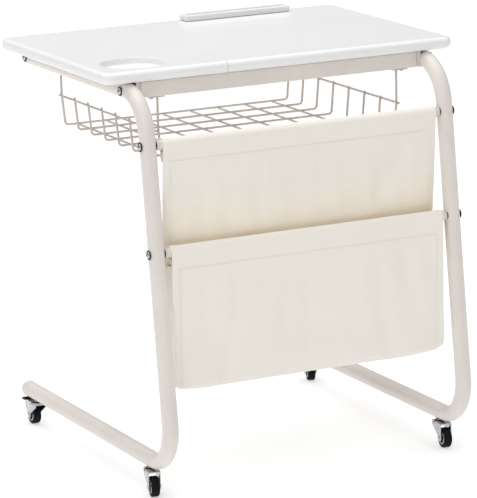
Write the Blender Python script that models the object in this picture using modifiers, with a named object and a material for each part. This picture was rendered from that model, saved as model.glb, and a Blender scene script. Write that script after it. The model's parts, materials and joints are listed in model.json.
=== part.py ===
"""Rolling side table with a wire basket and a canvas pocket.

Two bent tubes, each the shape of a letter C, stand on four swivel casters and
hold a white tabletop. Two rails and two rods join them, a wire basket hangs
under the top, and a canvas pocket hangs from the rods. Metres, +Z up, the legs
and the pocket face -Y. The origin lies on the floor, under the middle.
"""

import math

import bmesh
import bpy
from mathutils import Matrix, Vector

SIDES = {"left": -1, "right": 1}
GAP = 0.0003  # between pieces that touch
RUNNING_GAP = 0.00015  # around a shaft that turns
CUT_PAST = 0.010  # how far a cutter runs past what it cuts

# Sides of round pieces
TUBE_SIDES = 16
BORE_SIDES = 12
BOLT_HOLE_SIDES = 10
SCREW_SIDES = 8
WIRE_SIDES = 6
WHEEL_SIDES = 24
HUB_SIDES = 20
CUP_SIDES = 36

# Tabletop
TOP_HALF_WIDTH = 0.300
TOP_FRONT_Y = -0.175
TOP_REAR_Y = 0.235
TOP_Z = 0.650
TOP_THICKNESS = 0.018
TOP_CORNER_RADIUS = 0.018
TOP_EDGE_RADIUS = 0.008
CUP_CENTRE = (-0.222, -0.104)
CUP_RADIUS = 0.049
CUP_DEPTH = 0.010
UNDERSIDE_Z = TOP_Z - TOP_THICKNESS

# Tablet stop, a slotted bar along the rear edge
STOP_LOW = (0.015, 0.200, TOP_Z + GAP)
STOP_HIGH = (0.205, 0.227, TOP_Z + 0.010)
STOP_SLOT_LOW = (0.023, 0.2105, TOP_Z + 0.0035)
STOP_SLOT_HIGH = (0.197, 0.2175, TOP_Z + 0.020)
STOP_BEVEL = 0.002

# Side frames
TUBE_RADIUS = 0.0125
TUBE_WALL = 0.0012
FRAME_X = 0.254
TOP_ARM_Z = 0.619
FOOT_ARM_Z = 0.0557
TOP_ARM_END_Y = 0.2205
FOOT_ARM_END_Y = 0.2775
LEG_Y = -0.2315  # at LEG_Z
LEG_Z = 0.450
LEG_SLOPE = 0.1164  # the leg leans forward on its way down
TOP_BEND_RADIUS = 0.070
FOOT_BEND_RADIUS = 0.062
BEND_STEP = math.radians(9.5)
PLUG_DOME = 0.005
PLUG_DOME_SHAPE = ((0, 1), (0.60, 0.86), (0.90, 0.52))  # shares of the radius and of the dome
SPIGOT_RADIUS = 0.0104
SPIGOT_LENGTH = 0.006

# Rails, rods and their saddle inserts
RAIL_Y = {"front": -0.1547, "rear": 0.2095}
RAIL_HALF_HEIGHT = 0.0125
RAIL_HALF_DEPTH = 0.010
RAIL_WALL = 0.0013
RAIL_EDGE = 0.002
RAIL_END_X = 0.2375
ROD_Z = {"upper": 0.5444, "lower": 0.3835}
ROD_RADIUS = 0.008
ROD_WALL = 0.0012
ROD_END_X = 0.2380
SADDLE_DEPTH = 0.014
SADDLE_RAIL_TIP_X = 0.2465
SADDLE_ROD_TIP_X = 0.2435
BOLT_RADIUS = 0.0030
BOLT_HEAD_RADIUS = 0.0065
BOLT_HEAD_HEIGHT = 0.0032
BOLT_HEAD_SHAPE = ((0, 1), (0.55, 1), (0.88, 0.65), (1, 0.2), (1, 0))  # shares of radius and height
BOLT_END_X = 0.2275
HEX_RADIUS = 0.0029
HEX_FLOOR = 0.0011

# Wire basket
WIRE_RADIUS = 0.00175
WIRE_LAP = 0.0026  # between the centres of two wires welded across each other
WIRE_OVERHANG = 0.003  # past the last weld
WIRE_BEND_STEP = math.radians(35)
BASKET_FLOOR_Z = 0.5025
BASKET_RIM_Z = 0.5515
BASKET_FLOOR_X = 0.2005
BASKET_RIM_X = 0.2055
BASKET_CORNER = 0.006
CROSS_WIRES = 8
FLOOR_WIRES = 8
TAB_LOW_X = 0.1965
TAB_HIGH_X = 0.2225
TAB_HALF_DEPTH = 0.007
TAB_THICKNESS = 0.0017
SCREW_X = 0.2155
SCREW_RADIUS = 0.0020
SCREW_HEAD_RADIUS = 0.0040
SCREW_HEAD_HEIGHT = 0.0028
SCREW_TIP_Z = TOP_Z - 0.006

# Canvas pocket
CANVAS = 0.0010
SLEEVE_RADIUS = 0.0090  # at the middle of the canvas
SLEEVE_HALF_WIDTH = 0.2330
POCKET_HALF_WIDTH = 0.2310
POCKET_FLOOR_Z = 0.1760
FRONT_PANEL_SLOPE = -0.003
BACK_PANEL_SLOPE = 0.0957
FLAP_START_DROP = 0.0170  # below the rod's axis
HEM_DROP = 0.0255
HEM_STANDOFF = 0.0018
GUSSET_X = 0.2295
GUSSET_TOP_Z = 0.348

# Casters, in a frame on the stem axis with +X along the trail
CASTER_Y = {"front": -0.1957, "rear": 0.2430}
CASTER_TRAIL = {
    "front_left": (-0.216, -0.976),
    "front_right": (-0.10, -0.995),
    "rear_left": (-0.01, 1.0),
    "rear_right": (0.30, 0.954),
}
WHEEL_RADIUS = 0.016
WHEEL_HALF_WIDTH = 0.0065
WHEEL_TRAIL = 0.017
RIM_RADIUS = 0.0105
HUB_BOSS_RADIUS = 0.0050
AXLE_RADIUS = 0.0025
AXLE_HEAD_RADIUS = 0.0040
STEM_RADIUS = 0.0040
STEM_FLANGE_RADIUS = 0.0080
STEM_HEAD_RADIUS = 0.0062
STEM_TOP_Z = 0.0600
STEM_FLANGE_Z = (0.0429, 0.0403)
STEM_HEAD_Z = (0.0373, 0.0345)
CROWN_Z = (0.0400, 0.0376)
CROWN_RADIUS = 0.0118
FORK_INSIDE = 0.0081
FORK_OUTSIDE = 0.0099
FORK_HEEL_X = -0.0105
FORK_TOE_X = {"front": 0.0215, "rear": 0.0292}
FORK_EYE_RADIUS = 0.0056
PEDAL_PIVOT = (0.0255, 0.0350)
PEDAL_BARREL_RADIUS = 0.0030
PEDAL_STUB_RADIUS = 0.0015
PEDAL_LOW = (0.0225, -0.0075, 0.0372)
PEDAL_HIGH = (0.0350, 0.0075, 0.0402)
PEDAL_PAD_LOW = (0.0306, -0.0110, 0.0372)
PEDAL_PAD_HIGH = (0.0415, 0.0110, 0.0402)
PEDAL_EDGE = 0.001
PEDAL_ROOM = 0.002
PEDAL_CAM_DROP = 0.0042
PEDAL_CAM_HALF_LENGTH = 0.0012
PEDAL_CAM_HALF_WIDTH = 0.006

# colour, roughness, metallic
LAMINATE = ((0.86, 0.86, 0.855), 0.35, 0.0)
STOP_PLASTIC = ((0.74, 0.74, 0.75), 0.45, 0.0)
CREAM_PAINT = ((0.76, 0.70, 0.65), 0.40, 0.0)
CREAM_PLASTIC = ((0.74, 0.69, 0.64), 0.50, 0.0)
BLACK_PLASTIC = ((0.02, 0.02, 0.02), 0.55, 0.0)
CHROME = ((0.80, 0.80, 0.80), 0.15, 1.0)
CANVAS_CREAM = ((0.76, 0.71, 0.63), 0.90, 0.0)
RUBBER = ((0.015, 0.015, 0.015), 0.70, 0.0)
GREY_PLASTIC = ((0.45, 0.45, 0.46), 0.50, 0.0)


# Helpers ---------------------------------------------------------------------


def clear_scene():
    for obj in list(bpy.data.objects):
        bpy.data.objects.remove(obj, do_unlink=True)


def new_collection(name):
    made = bpy.data.collections.new(name)
    bpy.context.scene.collection.children.link(made)
    return made


def finish_of(name, look):
    colour, roughness, metallic = look
    material = bpy.data.materials.new(name + "_finish")
    material.use_nodes = True
    shader = material.node_tree.nodes["Principled BSDF"]
    shader.inputs["Base Color"].default_value = (*colour, 1.0)
    shader.inputs["Roughness"].default_value = roughness
    shader.inputs["Metallic"].default_value = metallic
    material.diffuse_color = (*colour, 1.0)
    return material


def smooth(mesh):
    mesh.shade_smooth()
    mesh.set_sharp_from_angle(angle=math.radians(40))


def add_part(name, mesh, look, smoothed=True):
    """A piece of the table, with its own finish."""
    if smoothed and mesh.polygons:
        smooth(mesh)
    obj = bpy.data.objects.new(name, mesh)
    obj.data.materials.append(finish_of(name, look))
    PARTS.objects.link(obj)
    return obj


def add_cutter(name, mesh):
    obj = bpy.data.objects.new(name, mesh)
    obj.hide_render = True
    obj.display_type = "WIRE"
    CUTTERS.objects.link(obj)
    return obj


def mesh_of(bm, name):
    mesh = bpy.data.meshes.new(name)
    bm.to_mesh(mesh)
    bm.free()
    return mesh


def boxes(spans, name):
    """Boxes as one mesh; each span is its lowest and its highest corner."""
    bm = bmesh.new()
    for low, high in spans:
        low, high = Vector(low), Vector(high)
        place = Matrix.Translation((low + high) / 2) @ Matrix.Diagonal((*(high - low), 1))
        bmesh.ops.create_cube(bm, size=1, matrix=place)
    return mesh_of(bm, name)


def rods(ends, radius, sides, name):
    """Straight round bars as one mesh; each entry is its two end points."""
    bm = bmesh.new()
    for start, end in ends:
        start, end = Vector(start), Vector(end)
        turn = (end - start).to_track_quat("Z", "Y").to_matrix().to_4x4()
        place = Matrix.Translation((start + end) / 2) @ turn
        bmesh.ops.create_cone(
            bm,
            cap_ends=True,
            segments=sides,
            radius1=radius,
            radius2=radius,
            depth=(end - start).length,
            matrix=place,
        )
    return mesh_of(bm, name)


def boolean(obj, other, operation):
    modifier = obj.modifiers.new(operation.title() + "_" + other.name, "BOOLEAN")
    modifier.operation = operation
    modifier.solver = "EXACT"
    modifier.object = other


def bevel(obj, width, segments):
    modifier = obj.modifiers.new("Rounded_edges", "BEVEL")
    modifier.width = width
    modifier.segments = segments
    modifier.limit_method = "ANGLE"
    modifier.angle_limit = math.radians(50)


def evaluated_mesh(obj):
    bpy.context.view_layer.update()
    graph = bpy.context.evaluated_depsgraph_get()
    return bpy.data.meshes.new_from_object(obj.evaluated_get(graph))


def mesh_from_curve(curve, name):
    """The curve's surface with its caps welded on."""
    obj = bpy.data.objects.new(name, curve)
    CUTTERS.objects.link(obj)
    mesh = evaluated_mesh(obj)
    bpy.data.objects.remove(obj, do_unlink=True)
    bpy.data.curves.remove(curve)
    bm = bmesh.new()
    bm.from_mesh(mesh)
    bmesh.ops.remove_doubles(bm, verts=bm.verts, dist=1e-6)
    bmesh.ops.recalc_face_normals(bm, faces=bm.faces)
    bpy.data.meshes.remove(mesh)
    return mesh_of(bm, name)


def tubes(paths, radius, sides, name):
    """Round bars along paths, as one mesh."""
    curve = bpy.data.curves.new(name, "CURVE")
    curve.dimensions = "3D"
    for path in paths:
        spline = curve.splines.new("POLY")
        spline.points.add(len(path) - 1)
        for place, point in zip(path, spline.points, strict=True):
            point.co = (*place, 1)
    curve.bevel_depth = radius
    curve.bevel_resolution = (sides - 4) // 2
    curve.use_fill_caps = True
    return mesh_from_curve(curve, name)


def plate(outline, thickness, name):
    """A flat outline in XZ, as thick along Y as given."""
    curve = bpy.data.curves.new(name, "CURVE")
    curve.dimensions = "2D"
    curve.fill_mode = "BOTH"
    curve.extrude = thickness / 2
    spline = curve.splines.new("POLY")
    spline.use_cyclic_u = True
    spline.points.add(len(outline) - 1)
    for (x, z), point in zip(outline, spline.points, strict=True):
        point.co = (x, z, 0, 1)
    mesh = mesh_from_curve(curve, name)
    mesh.transform(Matrix.Rotation(math.radians(90), 4, "X"))
    return mesh


def turned(profile, sides, closed, name):
    """A profile of (radius, height) points from top to bottom, turned about Z."""
    bm = bmesh.new()
    points = [bm.verts.new((radius, 0, height)) for radius, height in profile]
    for start, end in zip(points, points[1:]):
        bm.edges.new((start, end))
    if closed:
        bm.edges.new((points[-1], points[0]))
    obj = bpy.data.objects.new(name, mesh_of(bm, name))
    CUTTERS.objects.link(obj)
    screw = obj.modifiers.new("Turned", "SCREW")
    screw.steps = sides
    screw.render_steps = sides
    screw.use_merge_vertices = True
    screw.merge_threshold = 0.00001
    mesh = evaluated_mesh(obj)
    bpy.data.objects.remove(obj, do_unlink=True)
    return mesh


def along(mesh, axis, at):
    """Turns a mesh made along +Z to lie along axis, and moves it."""
    turn = Vector(axis).to_track_quat("Z", "Y").to_matrix().to_4x4()
    mesh.transform(Matrix.Translation(at) @ turn)
    return mesh


def filleted(corners, radii, step):
    """A path through corners with each inner corner rounded to its radius."""
    corners = [Vector(corner) for corner in corners]
    path = [corners[0]]
    for before, corner, after, radius in zip(corners, corners[1:], corners[2:], radii):
        to_before = (before - corner).normalized()
        to_after = (after - corner).normalized()
        turn = math.pi - to_before.angle(to_after)
        start = corner + to_before * radius * math.tan(turn / 2)
        middle = corner + (to_before + to_after).normalized() * radius / math.cos(turn / 2)
        out = (start - middle).normalized()
        steps = max(2, round(turn / step))
        for index in range(steps + 1):
            angle = turn * index / steps
            path.append(middle + radius * (math.cos(angle) * out - math.sin(angle) * to_before))
    path.append(corners[-1])
    return path


def leg_y(z):
    return LEG_Y + LEG_SLOPE * (z - LEG_Z)


def fastener_places():
    """Where each rail and rod crosses the tubes, as name: (y, z)."""
    places = {name + "_rail": (y, TOP_ARM_Z) for name, y in RAIL_Y.items()}
    places.update({name + "_rod": (leg_y(z), z) for name, z in ROD_Z.items()})
    return places


# Tabletop --------------------------------------------------------------------


def build_tabletop():
    low = (-TOP_HALF_WIDTH, TOP_FRONT_Y, UNDERSIDE_Z)
    high = (TOP_HALF_WIDTH, TOP_REAR_Y, TOP_Z)
    mesh = boxes([(low, high)], "tabletop")
    bm = bmesh.new()
    bm.from_mesh(mesh)
    upright = [e for e in bm.edges if abs(e.verts[0].co.z - e.verts[1].co.z) > TOP_THICKNESS / 2]
    bmesh.ops.bevel(bm, geom=upright, offset=TOP_CORNER_RADIUS, segments=4, profile=0.5, affect="EDGES")
    bm.to_mesh(mesh)
    bm.free()
    top = add_part("tabletop", mesh, LAMINATE)
    bevel(top, TOP_EDGE_RADIUS, 3)
    x, y = CUP_CENTRE
    span = ((x, y, TOP_Z - CUP_DEPTH), (x, y, TOP_Z + CUT_PAST))
    recess = rods([span], CUP_RADIUS, CUP_SIDES, "cup_recess")
    boolean(top, add_cutter("cup_recess", recess), "DIFFERENCE")
    pilots = []
    for x, y in screw_places().values():
        pilots.append(((x, y, UNDERSIDE_Z - CUT_PAST), (x, y, SCREW_TIP_Z + GAP)))
    holes = rods(pilots, SCREW_RADIUS + GAP, SCREW_SIDES, "pilot_holes")
    boolean(top, add_cutter("pilot_holes", holes), "DIFFERENCE")


def build_tablet_stop():
    stop = add_part("tablet_stop", boxes([(STOP_LOW, STOP_HIGH)], "tablet_stop"), STOP_PLASTIC)
    bevel(stop, STOP_BEVEL, 2)
    slot = boxes([(STOP_SLOT_LOW, STOP_SLOT_HIGH)], "tablet_slot")
    boolean(stop, add_cutter("tablet_slot", slot), "DIFFERENCE")


# Side frames -----------------------------------------------------------------


def frame_path(extra):
    """The tube's centre line at X = 0, each end longer by extra."""
    corners = [
        (0, TOP_ARM_END_Y + extra, TOP_ARM_Z),
        (0, leg_y(TOP_ARM_Z), TOP_ARM_Z),
        (0, leg_y(FOOT_ARM_Z), FOOT_ARM_Z),
        (0, FOOT_ARM_END_Y + extra, FOOT_ARM_Z),
    ]
    return filleted(corners, (TOP_BEND_RADIUS, FOOT_BEND_RADIUS), BEND_STEP)


def build_side_frame(side, sign):
    name = "side_frame_" + side
    across = Matrix.Translation((sign * FRAME_X, 0, 0))
    outer = tubes([frame_path(0)], TUBE_RADIUS, TUBE_SIDES, name)
    inner = tubes([frame_path(CUT_PAST)], TUBE_RADIUS - TUBE_WALL, BORE_SIDES, name + "_inside")
    bolt_ends = []
    for y, z in fastener_places().values():
        bolt_ends.append(((-2 * TUBE_RADIUS, y, z), (2 * TUBE_RADIUS, y, z)))
    bolt_holes = rods(bolt_ends, BOLT_RADIUS + GAP, BOLT_HOLE_SIDES, name + "_bolt_holes")
    below = FOOT_ARM_Z - TUBE_RADIUS - CUT_PAST
    stem_ends = [((0, y, FOOT_ARM_Z), (0, y, below)) for y in CASTER_Y.values()]
    stem_holes = rods(stem_ends, STEM_RADIUS + GAP, BORE_SIDES, name + "_stem_holes")
    for mesh in (outer, inner, bolt_holes, stem_holes):
        mesh.transform(across)
    frame = add_part(name, outer, CREAM_PAINT)
    for cutter in (inner, bolt_holes, stem_holes):
        boolean(frame, add_cutter(cutter.name, cutter), "DIFFERENCE")


def build_end_plug(name, sign, y, z):
    """A domed plug with a spigot inside the tube's open end."""
    profile = [(TUBE_RADIUS * radius, PLUG_DOME * height) for radius, height in PLUG_DOME_SHAPE]
    profile += [
        (TUBE_RADIUS, GAP * 2),
        (TUBE_RADIUS, GAP),
        (SPIGOT_RADIUS, GAP),
        (SPIGOT_RADIUS, -SPIGOT_LENGTH),
        (0, -SPIGOT_LENGTH),
    ]
    mesh = along(turned(profile, TUBE_SIDES, False, name), (0, 1, 0), (sign * FRAME_X, y, z))
    add_part(name, mesh, CREAM_PLASTIC)


# Rails and rods --------------------------------------------------------------


def build_rail(where, y):
    low = (-RAIL_END_X, y - RAIL_HALF_DEPTH, TOP_ARM_Z - RAIL_HALF_HEIGHT)
    high = (RAIL_END_X, y + RAIL_HALF_DEPTH, TOP_ARM_Z + RAIL_HALF_HEIGHT)
    rail = add_part(where + "_rail", boxes([(low, high)], where + "_rail"), CREAM_PAINT)
    bevel(rail, RAIL_EDGE, 2)
    depth = RAIL_HALF_DEPTH - RAIL_WALL
    height = RAIL_HALF_HEIGHT - RAIL_WALL
    end = RAIL_END_X + CUT_PAST
    span = ((-end, y - depth, TOP_ARM_Z - height), (end, y + depth, TOP_ARM_Z + height))
    hollow = boxes([span], where + "_rail_inside")
    boolean(rail, add_cutter(hollow.name, hollow), "DIFFERENCE")
    reach = RAIL_HALF_HEIGHT + CUT_PAST
    ends = []
    for sign in SIDES.values():
        ends.append(((sign * SCREW_X, y, TOP_ARM_Z - reach), (sign * SCREW_X, y, TOP_ARM_Z + reach)))
    holes = rods(ends, SCREW_RADIUS + GAP, SCREW_SIDES, where + "_rail_screw_holes")
    boolean(rail, add_cutter(holes.name, holes), "DIFFERENCE")


def build_rod(where, y, z):
    profile = [
        (ROD_RADIUS, ROD_END_X),
        (ROD_RADIUS, -ROD_END_X),
        (ROD_RADIUS - ROD_WALL, -ROD_END_X),
        (ROD_RADIUS - ROD_WALL, ROD_END_X),
    ]
    name = where + "_rod"
    add_part(name, along(turned(profile, TUBE_SIDES, True, name), (1, 0, 0), (0, y, z)), CREAM_PAINT)


def build_saddle(name, sign, y, z, is_rail, tube):
    """A plastic insert: a spigot in the bar's end and a flange cut to fit the tube."""
    if is_rail:
        end, tip = RAIL_END_X, SADDLE_RAIL_TIP_X
        depth = RAIL_HALF_DEPTH - RAIL_WALL - GAP
        height = RAIL_HALF_HEIGHT - RAIL_WALL - GAP
        flange_depth = RAIL_HALF_DEPTH - GAP
        flange_height = RAIL_HALF_HEIGHT - GAP
        spans = [
            ((end - SADDLE_DEPTH, y - depth, z - height), (end + 2 * GAP, y + depth, z + height)),
            ((end + GAP, y - flange_depth, z - flange_height), (tip, y + flange_depth, z + flange_height)),
        ]
        spigot, flange = (boxes([span], name) for span in spans)
    else:
        end, tip = ROD_END_X, SADDLE_ROD_TIP_X
        inside = ROD_RADIUS - ROD_WALL - GAP
        spigot = rods([((end - SADDLE_DEPTH, y, z), (end + 2 * GAP, y, z))], inside, BORE_SIDES, name)
        flange = rods([((end + GAP, y, z), (tip, y, z))], ROD_RADIUS, BORE_SIDES, name)
    span = ((end - 2 * SADDLE_DEPTH, y, z), (FRAME_X, y, z))
    bore = rods([span], BOLT_RADIUS + GAP, BOLT_HOLE_SIDES, name + "_bore")
    if sign < 0:
        for mesh in (spigot, flange, bore):
            mesh.transform(Matrix.Scale(-1, 4, (1, 0, 0)))
            mesh.flip_normals()
    saddle = add_part(name, flange, BLACK_PLASTIC, smoothed=False)
    boolean(saddle, add_cutter(name + "_spigot", spigot), "UNION")
    boolean(saddle, tube, "DIFFERENCE")
    boolean(saddle, add_cutter(bore.name, bore), "DIFFERENCE")


def bolt_mesh():
    """A button-head bolt along +Z, with the underside of its head at 0."""
    tip = BOLT_END_X - FRAME_X - TUBE_RADIUS - GAP
    profile = [(BOLT_HEAD_RADIUS * radius, BOLT_HEAD_HEIGHT * height) for radius, height in BOLT_HEAD_SHAPE]
    profile += [(BOLT_RADIUS, 0), (BOLT_RADIUS, tip), (0, tip)]
    bolt = bpy.data.objects.new("bolt", turned(profile, BORE_SIDES, False, "bolt"))
    CUTTERS.objects.link(bolt)
    socket = rods([((0, 0, HEX_FLOOR), (0, 0, BOLT_HEAD_HEIGHT + CUT_PAST))], HEX_RADIUS, 6, "hex_socket")
    boolean(bolt, add_cutter("hex_socket", socket), "DIFFERENCE")
    mesh = evaluated_mesh(bolt)
    bpy.data.objects.remove(bolt, do_unlink=True)
    return mesh


def build_fasteners():
    bolt = bolt_mesh()
    for side, sign in SIDES.items():
        around = tubes([frame_path(GAP)], TUBE_RADIUS + GAP, TUBE_SIDES, "around_tube_" + side)
        around.transform(Matrix.Translation((sign * FRAME_X, 0, 0)))
        tube = add_cutter(around.name, around)
        for name, (y, z) in fastener_places().items():
            build_saddle(f"{name}_saddle_{side}", sign, y, z, name.endswith("rail"), tube)
            mesh = bolt.copy()
            place = (sign * (FRAME_X + TUBE_RADIUS + GAP), y, z)
            add_part(f"{name}_bolt_{side}", along(mesh, (sign, 0, 0), place), CHROME)


# Wire basket -----------------------------------------------------------------


def screw_places():
    """The four long screws that hold rails and basket to the top, as name: (x, y)."""
    return {
        f"{where}_{side}": (sign * SCREW_X, y) for where, y in RAIL_Y.items() for side, sign in SIDES.items()
    }


def cross_wire(index):
    """A wire along X that turns up at both sides; the first and the last go up to the rails."""
    y = RAIL_Y["front"] + (RAIL_Y["rear"] - RAIL_Y["front"]) * index / (CROSS_WIRES - 1)
    is_hanger = index in (0, CROSS_WIRES - 1)
    corners = [(BASKET_FLOOR_X, BASKET_FLOOR_Z), (BASKET_RIM_X, BASKET_RIM_Z + WIRE_OVERHANG)]
    if is_hanger:
        corners.append((BASKET_RIM_X, TOP_ARM_Z - RAIL_HALF_HEIGHT - GAP - TAB_THICKNESS / 2))
    right = [(x, y, z) for x, z in corners]
    left = [(-x, y, z) for x, y, z in reversed(right)]
    radii = [BASKET_CORNER] * (len(left) + len(right) - 2)
    return filleted(left + right, radii, WIRE_BEND_STEP)


def build_basket():
    paths = [cross_wire(index) for index in range(CROSS_WIRES)]
    crossing = tubes(paths, WIRE_RADIUS, WIRE_SIDES, "wire_basket")
    front, rear = RAIL_Y["front"] - WIRE_OVERHANG, RAIL_Y["rear"] + WIRE_OVERHANG
    lengthwise = []
    pitch = 2 * BASKET_FLOOR_X / FLOOR_WIRES
    for index in range(FLOOR_WIRES):
        x = (index - (FLOOR_WIRES - 1) / 2) * pitch
        z = BASKET_FLOOR_Z - WIRE_LAP
        lengthwise.append([(x, front, z), (x, rear, z)])
    for sign in SIDES.values():
        x = sign * (BASKET_RIM_X + WIRE_LAP)
        lengthwise.append([(x, front, BASKET_RIM_Z), (x, rear, BASKET_RIM_Z)])
    basket = add_part("wire_basket", crossing, CREAM_PAINT)
    long_wires = tubes(lengthwise, WIRE_RADIUS, WIRE_SIDES, "long_wires")
    boolean(basket, add_cutter("long_wires", long_wires), "UNION")
    tab_top = TOP_ARM_Z - RAIL_HALF_HEIGHT - GAP
    tabs = []
    for y in RAIL_Y.values():
        for sign in SIDES.values():
            low_x, high_x = sorted((sign * TAB_LOW_X, sign * TAB_HIGH_X))
            low = (low_x, y - TAB_HALF_DEPTH, tab_top - TAB_THICKNESS)
            tabs.append((low, (high_x, y + TAB_HALF_DEPTH, tab_top)))
    boolean(basket, add_cutter("hanger_tabs", boxes(tabs, "hanger_tabs")), "UNION")
    holes = [((x, y, tab_top - CUT_PAST), (x, y, tab_top + CUT_PAST)) for x, y in screw_places().values()]
    tab_holes = rods(holes, SCREW_RADIUS + GAP, SCREW_SIDES, "tab_holes")
    boolean(basket, add_cutter("tab_holes", tab_holes), "DIFFERENCE")


def build_tabletop_screws():
    tab_bottom = TOP_ARM_Z - RAIL_HALF_HEIGHT - GAP - TAB_THICKNESS
    profile = [
        (0, SCREW_TIP_Z - tab_bottom),
        (SCREW_RADIUS, SCREW_TIP_Z - tab_bottom - SCREW_RADIUS),
        (SCREW_RADIUS, -GAP),
        (SCREW_HEAD_RADIUS, -GAP),
        (SCREW_HEAD_RADIUS, -GAP - SCREW_HEAD_HEIGHT * 0.5),
        (SCREW_HEAD_RADIUS * 0.5, -GAP - SCREW_HEAD_HEIGHT),
        (0, -GAP - SCREW_HEAD_HEIGHT),
    ]
    for where, (x, y) in screw_places().items():
        name = "tabletop_screw_" + where
        mesh = turned(profile, SCREW_SIDES, False, name)
        add_part(name, along(mesh, (0, 0, 1), (x, y, tab_bottom)), CHROME)


# Canvas pocket ---------------------------------------------------------------


def sleeve_strip(name, y, z, slope):
    """A canvas sheet hung over a rod: a hem flap, the sleeve round the rod, and the panel."""
    front = y - SLEEVE_RADIUS
    panel = [(front + slope * drop, z - drop) for drop in (0, z - POCKET_FLOOR_Z - CANVAS)]
    arc = []
    steps = 12
    last = math.radians(-50)
    for index in range(steps + 1):
        angle = math.pi + (last - math.pi) * index / steps
        arc.append((y + SLEEVE_RADIUS * math.cos(angle), z + SLEEVE_RADIUS * math.sin(angle)))
    flap = []
    for drop in (FLAP_START_DROP, HEM_DROP):
        flap.append((front + slope * drop + HEM_STANDOFF, z - drop))
    outline = [panel[1], *arc, *flap]
    bm = bmesh.new()
    rows = []
    for py, pz in outline:
        share = min(1, max(0, (z - pz) / (z - POCKET_FLOOR_Z)))
        half = SLEEVE_HALF_WIDTH + (POCKET_HALF_WIDTH - SLEEVE_HALF_WIDTH) * share
        rows.append([bm.verts.new((x, py, pz)) for x in (-half, half)])
    for low, high in zip(rows, rows[1:]):
        bm.faces.new((low[0], low[1], high[1], high[0]))
    sheet = add_part(name, mesh_of(bm, name), CANVAS_CREAM)
    add_thickness(sheet)


def add_thickness(obj):
    solid = obj.modifiers.new("Canvas", "SOLIDIFY")
    solid.thickness = CANVAS
    solid.offset = 0


def build_pocket():
    upper, lower = ROD_Z["upper"], ROD_Z["lower"]
    sleeve_strip("bag_front", leg_y(lower), lower, FRONT_PANEL_SLOPE)
    sleeve_strip("bag_back", leg_y(upper), upper, BACK_PANEL_SLOPE)

    def front_y(z):
        return leg_y(lower) - SLEEVE_RADIUS + FRONT_PANEL_SLOPE * (lower - z)

    def back_y(z):
        return leg_y(upper) - SLEEVE_RADIUS + BACK_PANEL_SLOPE * (upper - z)

    floor_top = POCKET_FLOOR_Z + CANVAS / 2 - GAP
    low = (-POCKET_HALF_WIDTH, front_y(floor_top) - CANVAS / 2, floor_top - CANVAS)
    high = (POCKET_HALF_WIDTH, back_y(floor_top) + CANVAS / 2, floor_top)
    add_part("bag_bottom", boxes([(low, high)], "bag_bottom"), CANVAS_CREAM)
    inset = CANVAS / 2 + GAP * 1.5
    for side, sign in SIDES.items():
        bm = bmesh.new()
        corners = []
        for z in (floor_top + 2 * GAP, GUSSET_TOP_Z):
            corners.append([(front_y(z) + inset, z), (back_y(z) - inset, z)])
        loop = [corners[0][0], corners[0][1], corners[1][1], corners[1][0]]
        bm.faces.new([bm.verts.new((sign * GUSSET_X, y, z)) for y, z in loop])
        gusset = add_part("bag_gusset_" + side, mesh_of(bm, "bag_gusset"), CANVAS_CREAM)
        add_thickness(gusset)


# Casters ---------------------------------------------------------------------


def fork_outline(toe_x):
    """The side plate's outline: a flat crown that tapers to a round eye at the axle."""
    eye = []
    for degrees in range(20, -201, -20):
        angle = math.radians(degrees)
        x = WHEEL_TRAIL + FORK_EYE_RADIUS * math.cos(angle)
        eye.append((x, WHEEL_RADIUS + FORK_EYE_RADIUS * math.sin(angle)))
    crown_top, crown_bottom = CROWN_Z
    shoulder = crown_bottom - 0.005
    return [(FORK_HEEL_X, crown_top), (toe_x, crown_top), (toe_x, shoulder), *eye, (FORK_HEEL_X, shoulder)]


def fork_mesh(where):
    """A stamped fork: an inverted channel cut to the side outline, with a round crown."""
    toe_x = FORK_TOE_X[where]
    crown_top, crown_bottom = CROWN_Z
    fork = bpy.data.objects.new("fork", plate(fork_outline(toe_x), 2 * FORK_OUTSIDE, "fork"))
    CUTTERS.objects.link(fork)
    crown = rods([((0, 0, crown_bottom), (0, 0, crown_top))], CROWN_RADIUS, HUB_SIDES, "crown_" + where)
    far_x, side = toe_x + CUT_PAST, 2 * FORK_OUTSIDE
    voids = [((FORK_HEEL_X - CUT_PAST, -FORK_INSIDE, -CUT_PAST), (far_x, FORK_INSIDE, crown_bottom))]
    axle = ((WHEEL_TRAIL, -side, WHEEL_RADIUS), (WHEEL_TRAIL, side, WHEEL_RADIUS))
    pins = rods([axle], AXLE_RADIUS + GAP, BORE_SIDES, "pins")
    if where == "rear":
        low = (PEDAL_LOW[0] - PEDAL_ROOM, -FORK_INSIDE, crown_bottom - 2 * PEDAL_ROOM)
        voids.append((low, (far_x, FORK_INSIDE, crown_top + CUT_PAST)))
    boolean(fork, add_cutter("crown_" + where, crown), "UNION")
    for index, void in enumerate(voids):
        name = f"fork_void_{where}_{index}"
        boolean(fork, add_cutter(name, boxes([void], name)), "DIFFERENCE")
    boolean(fork, add_cutter("fork_axle_hole_" + where, pins), "DIFFERENCE")
    span = ((0, 0, crown_bottom - CUT_PAST), (0, 0, crown_top + CUT_PAST))
    stem = rods([span], STEM_RADIUS + RUNNING_GAP, TUBE_SIDES, "fork_stem_hole_" + where)
    boolean(fork, add_cutter(stem.name, stem), "DIFFERENCE")
    if where == "rear":
        x, z = PEDAL_PIVOT
        name = "fork_pedal_holes"
        stubs = rods([((x, -side, z), (x, side, z))], PEDAL_STUB_RADIUS + RUNNING_GAP, BORE_SIDES, name)
        boolean(fork, add_cutter(name, stubs), "DIFFERENCE")
    mesh = evaluated_mesh(fork)
    bpy.data.objects.remove(fork, do_unlink=True)
    return mesh


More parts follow.
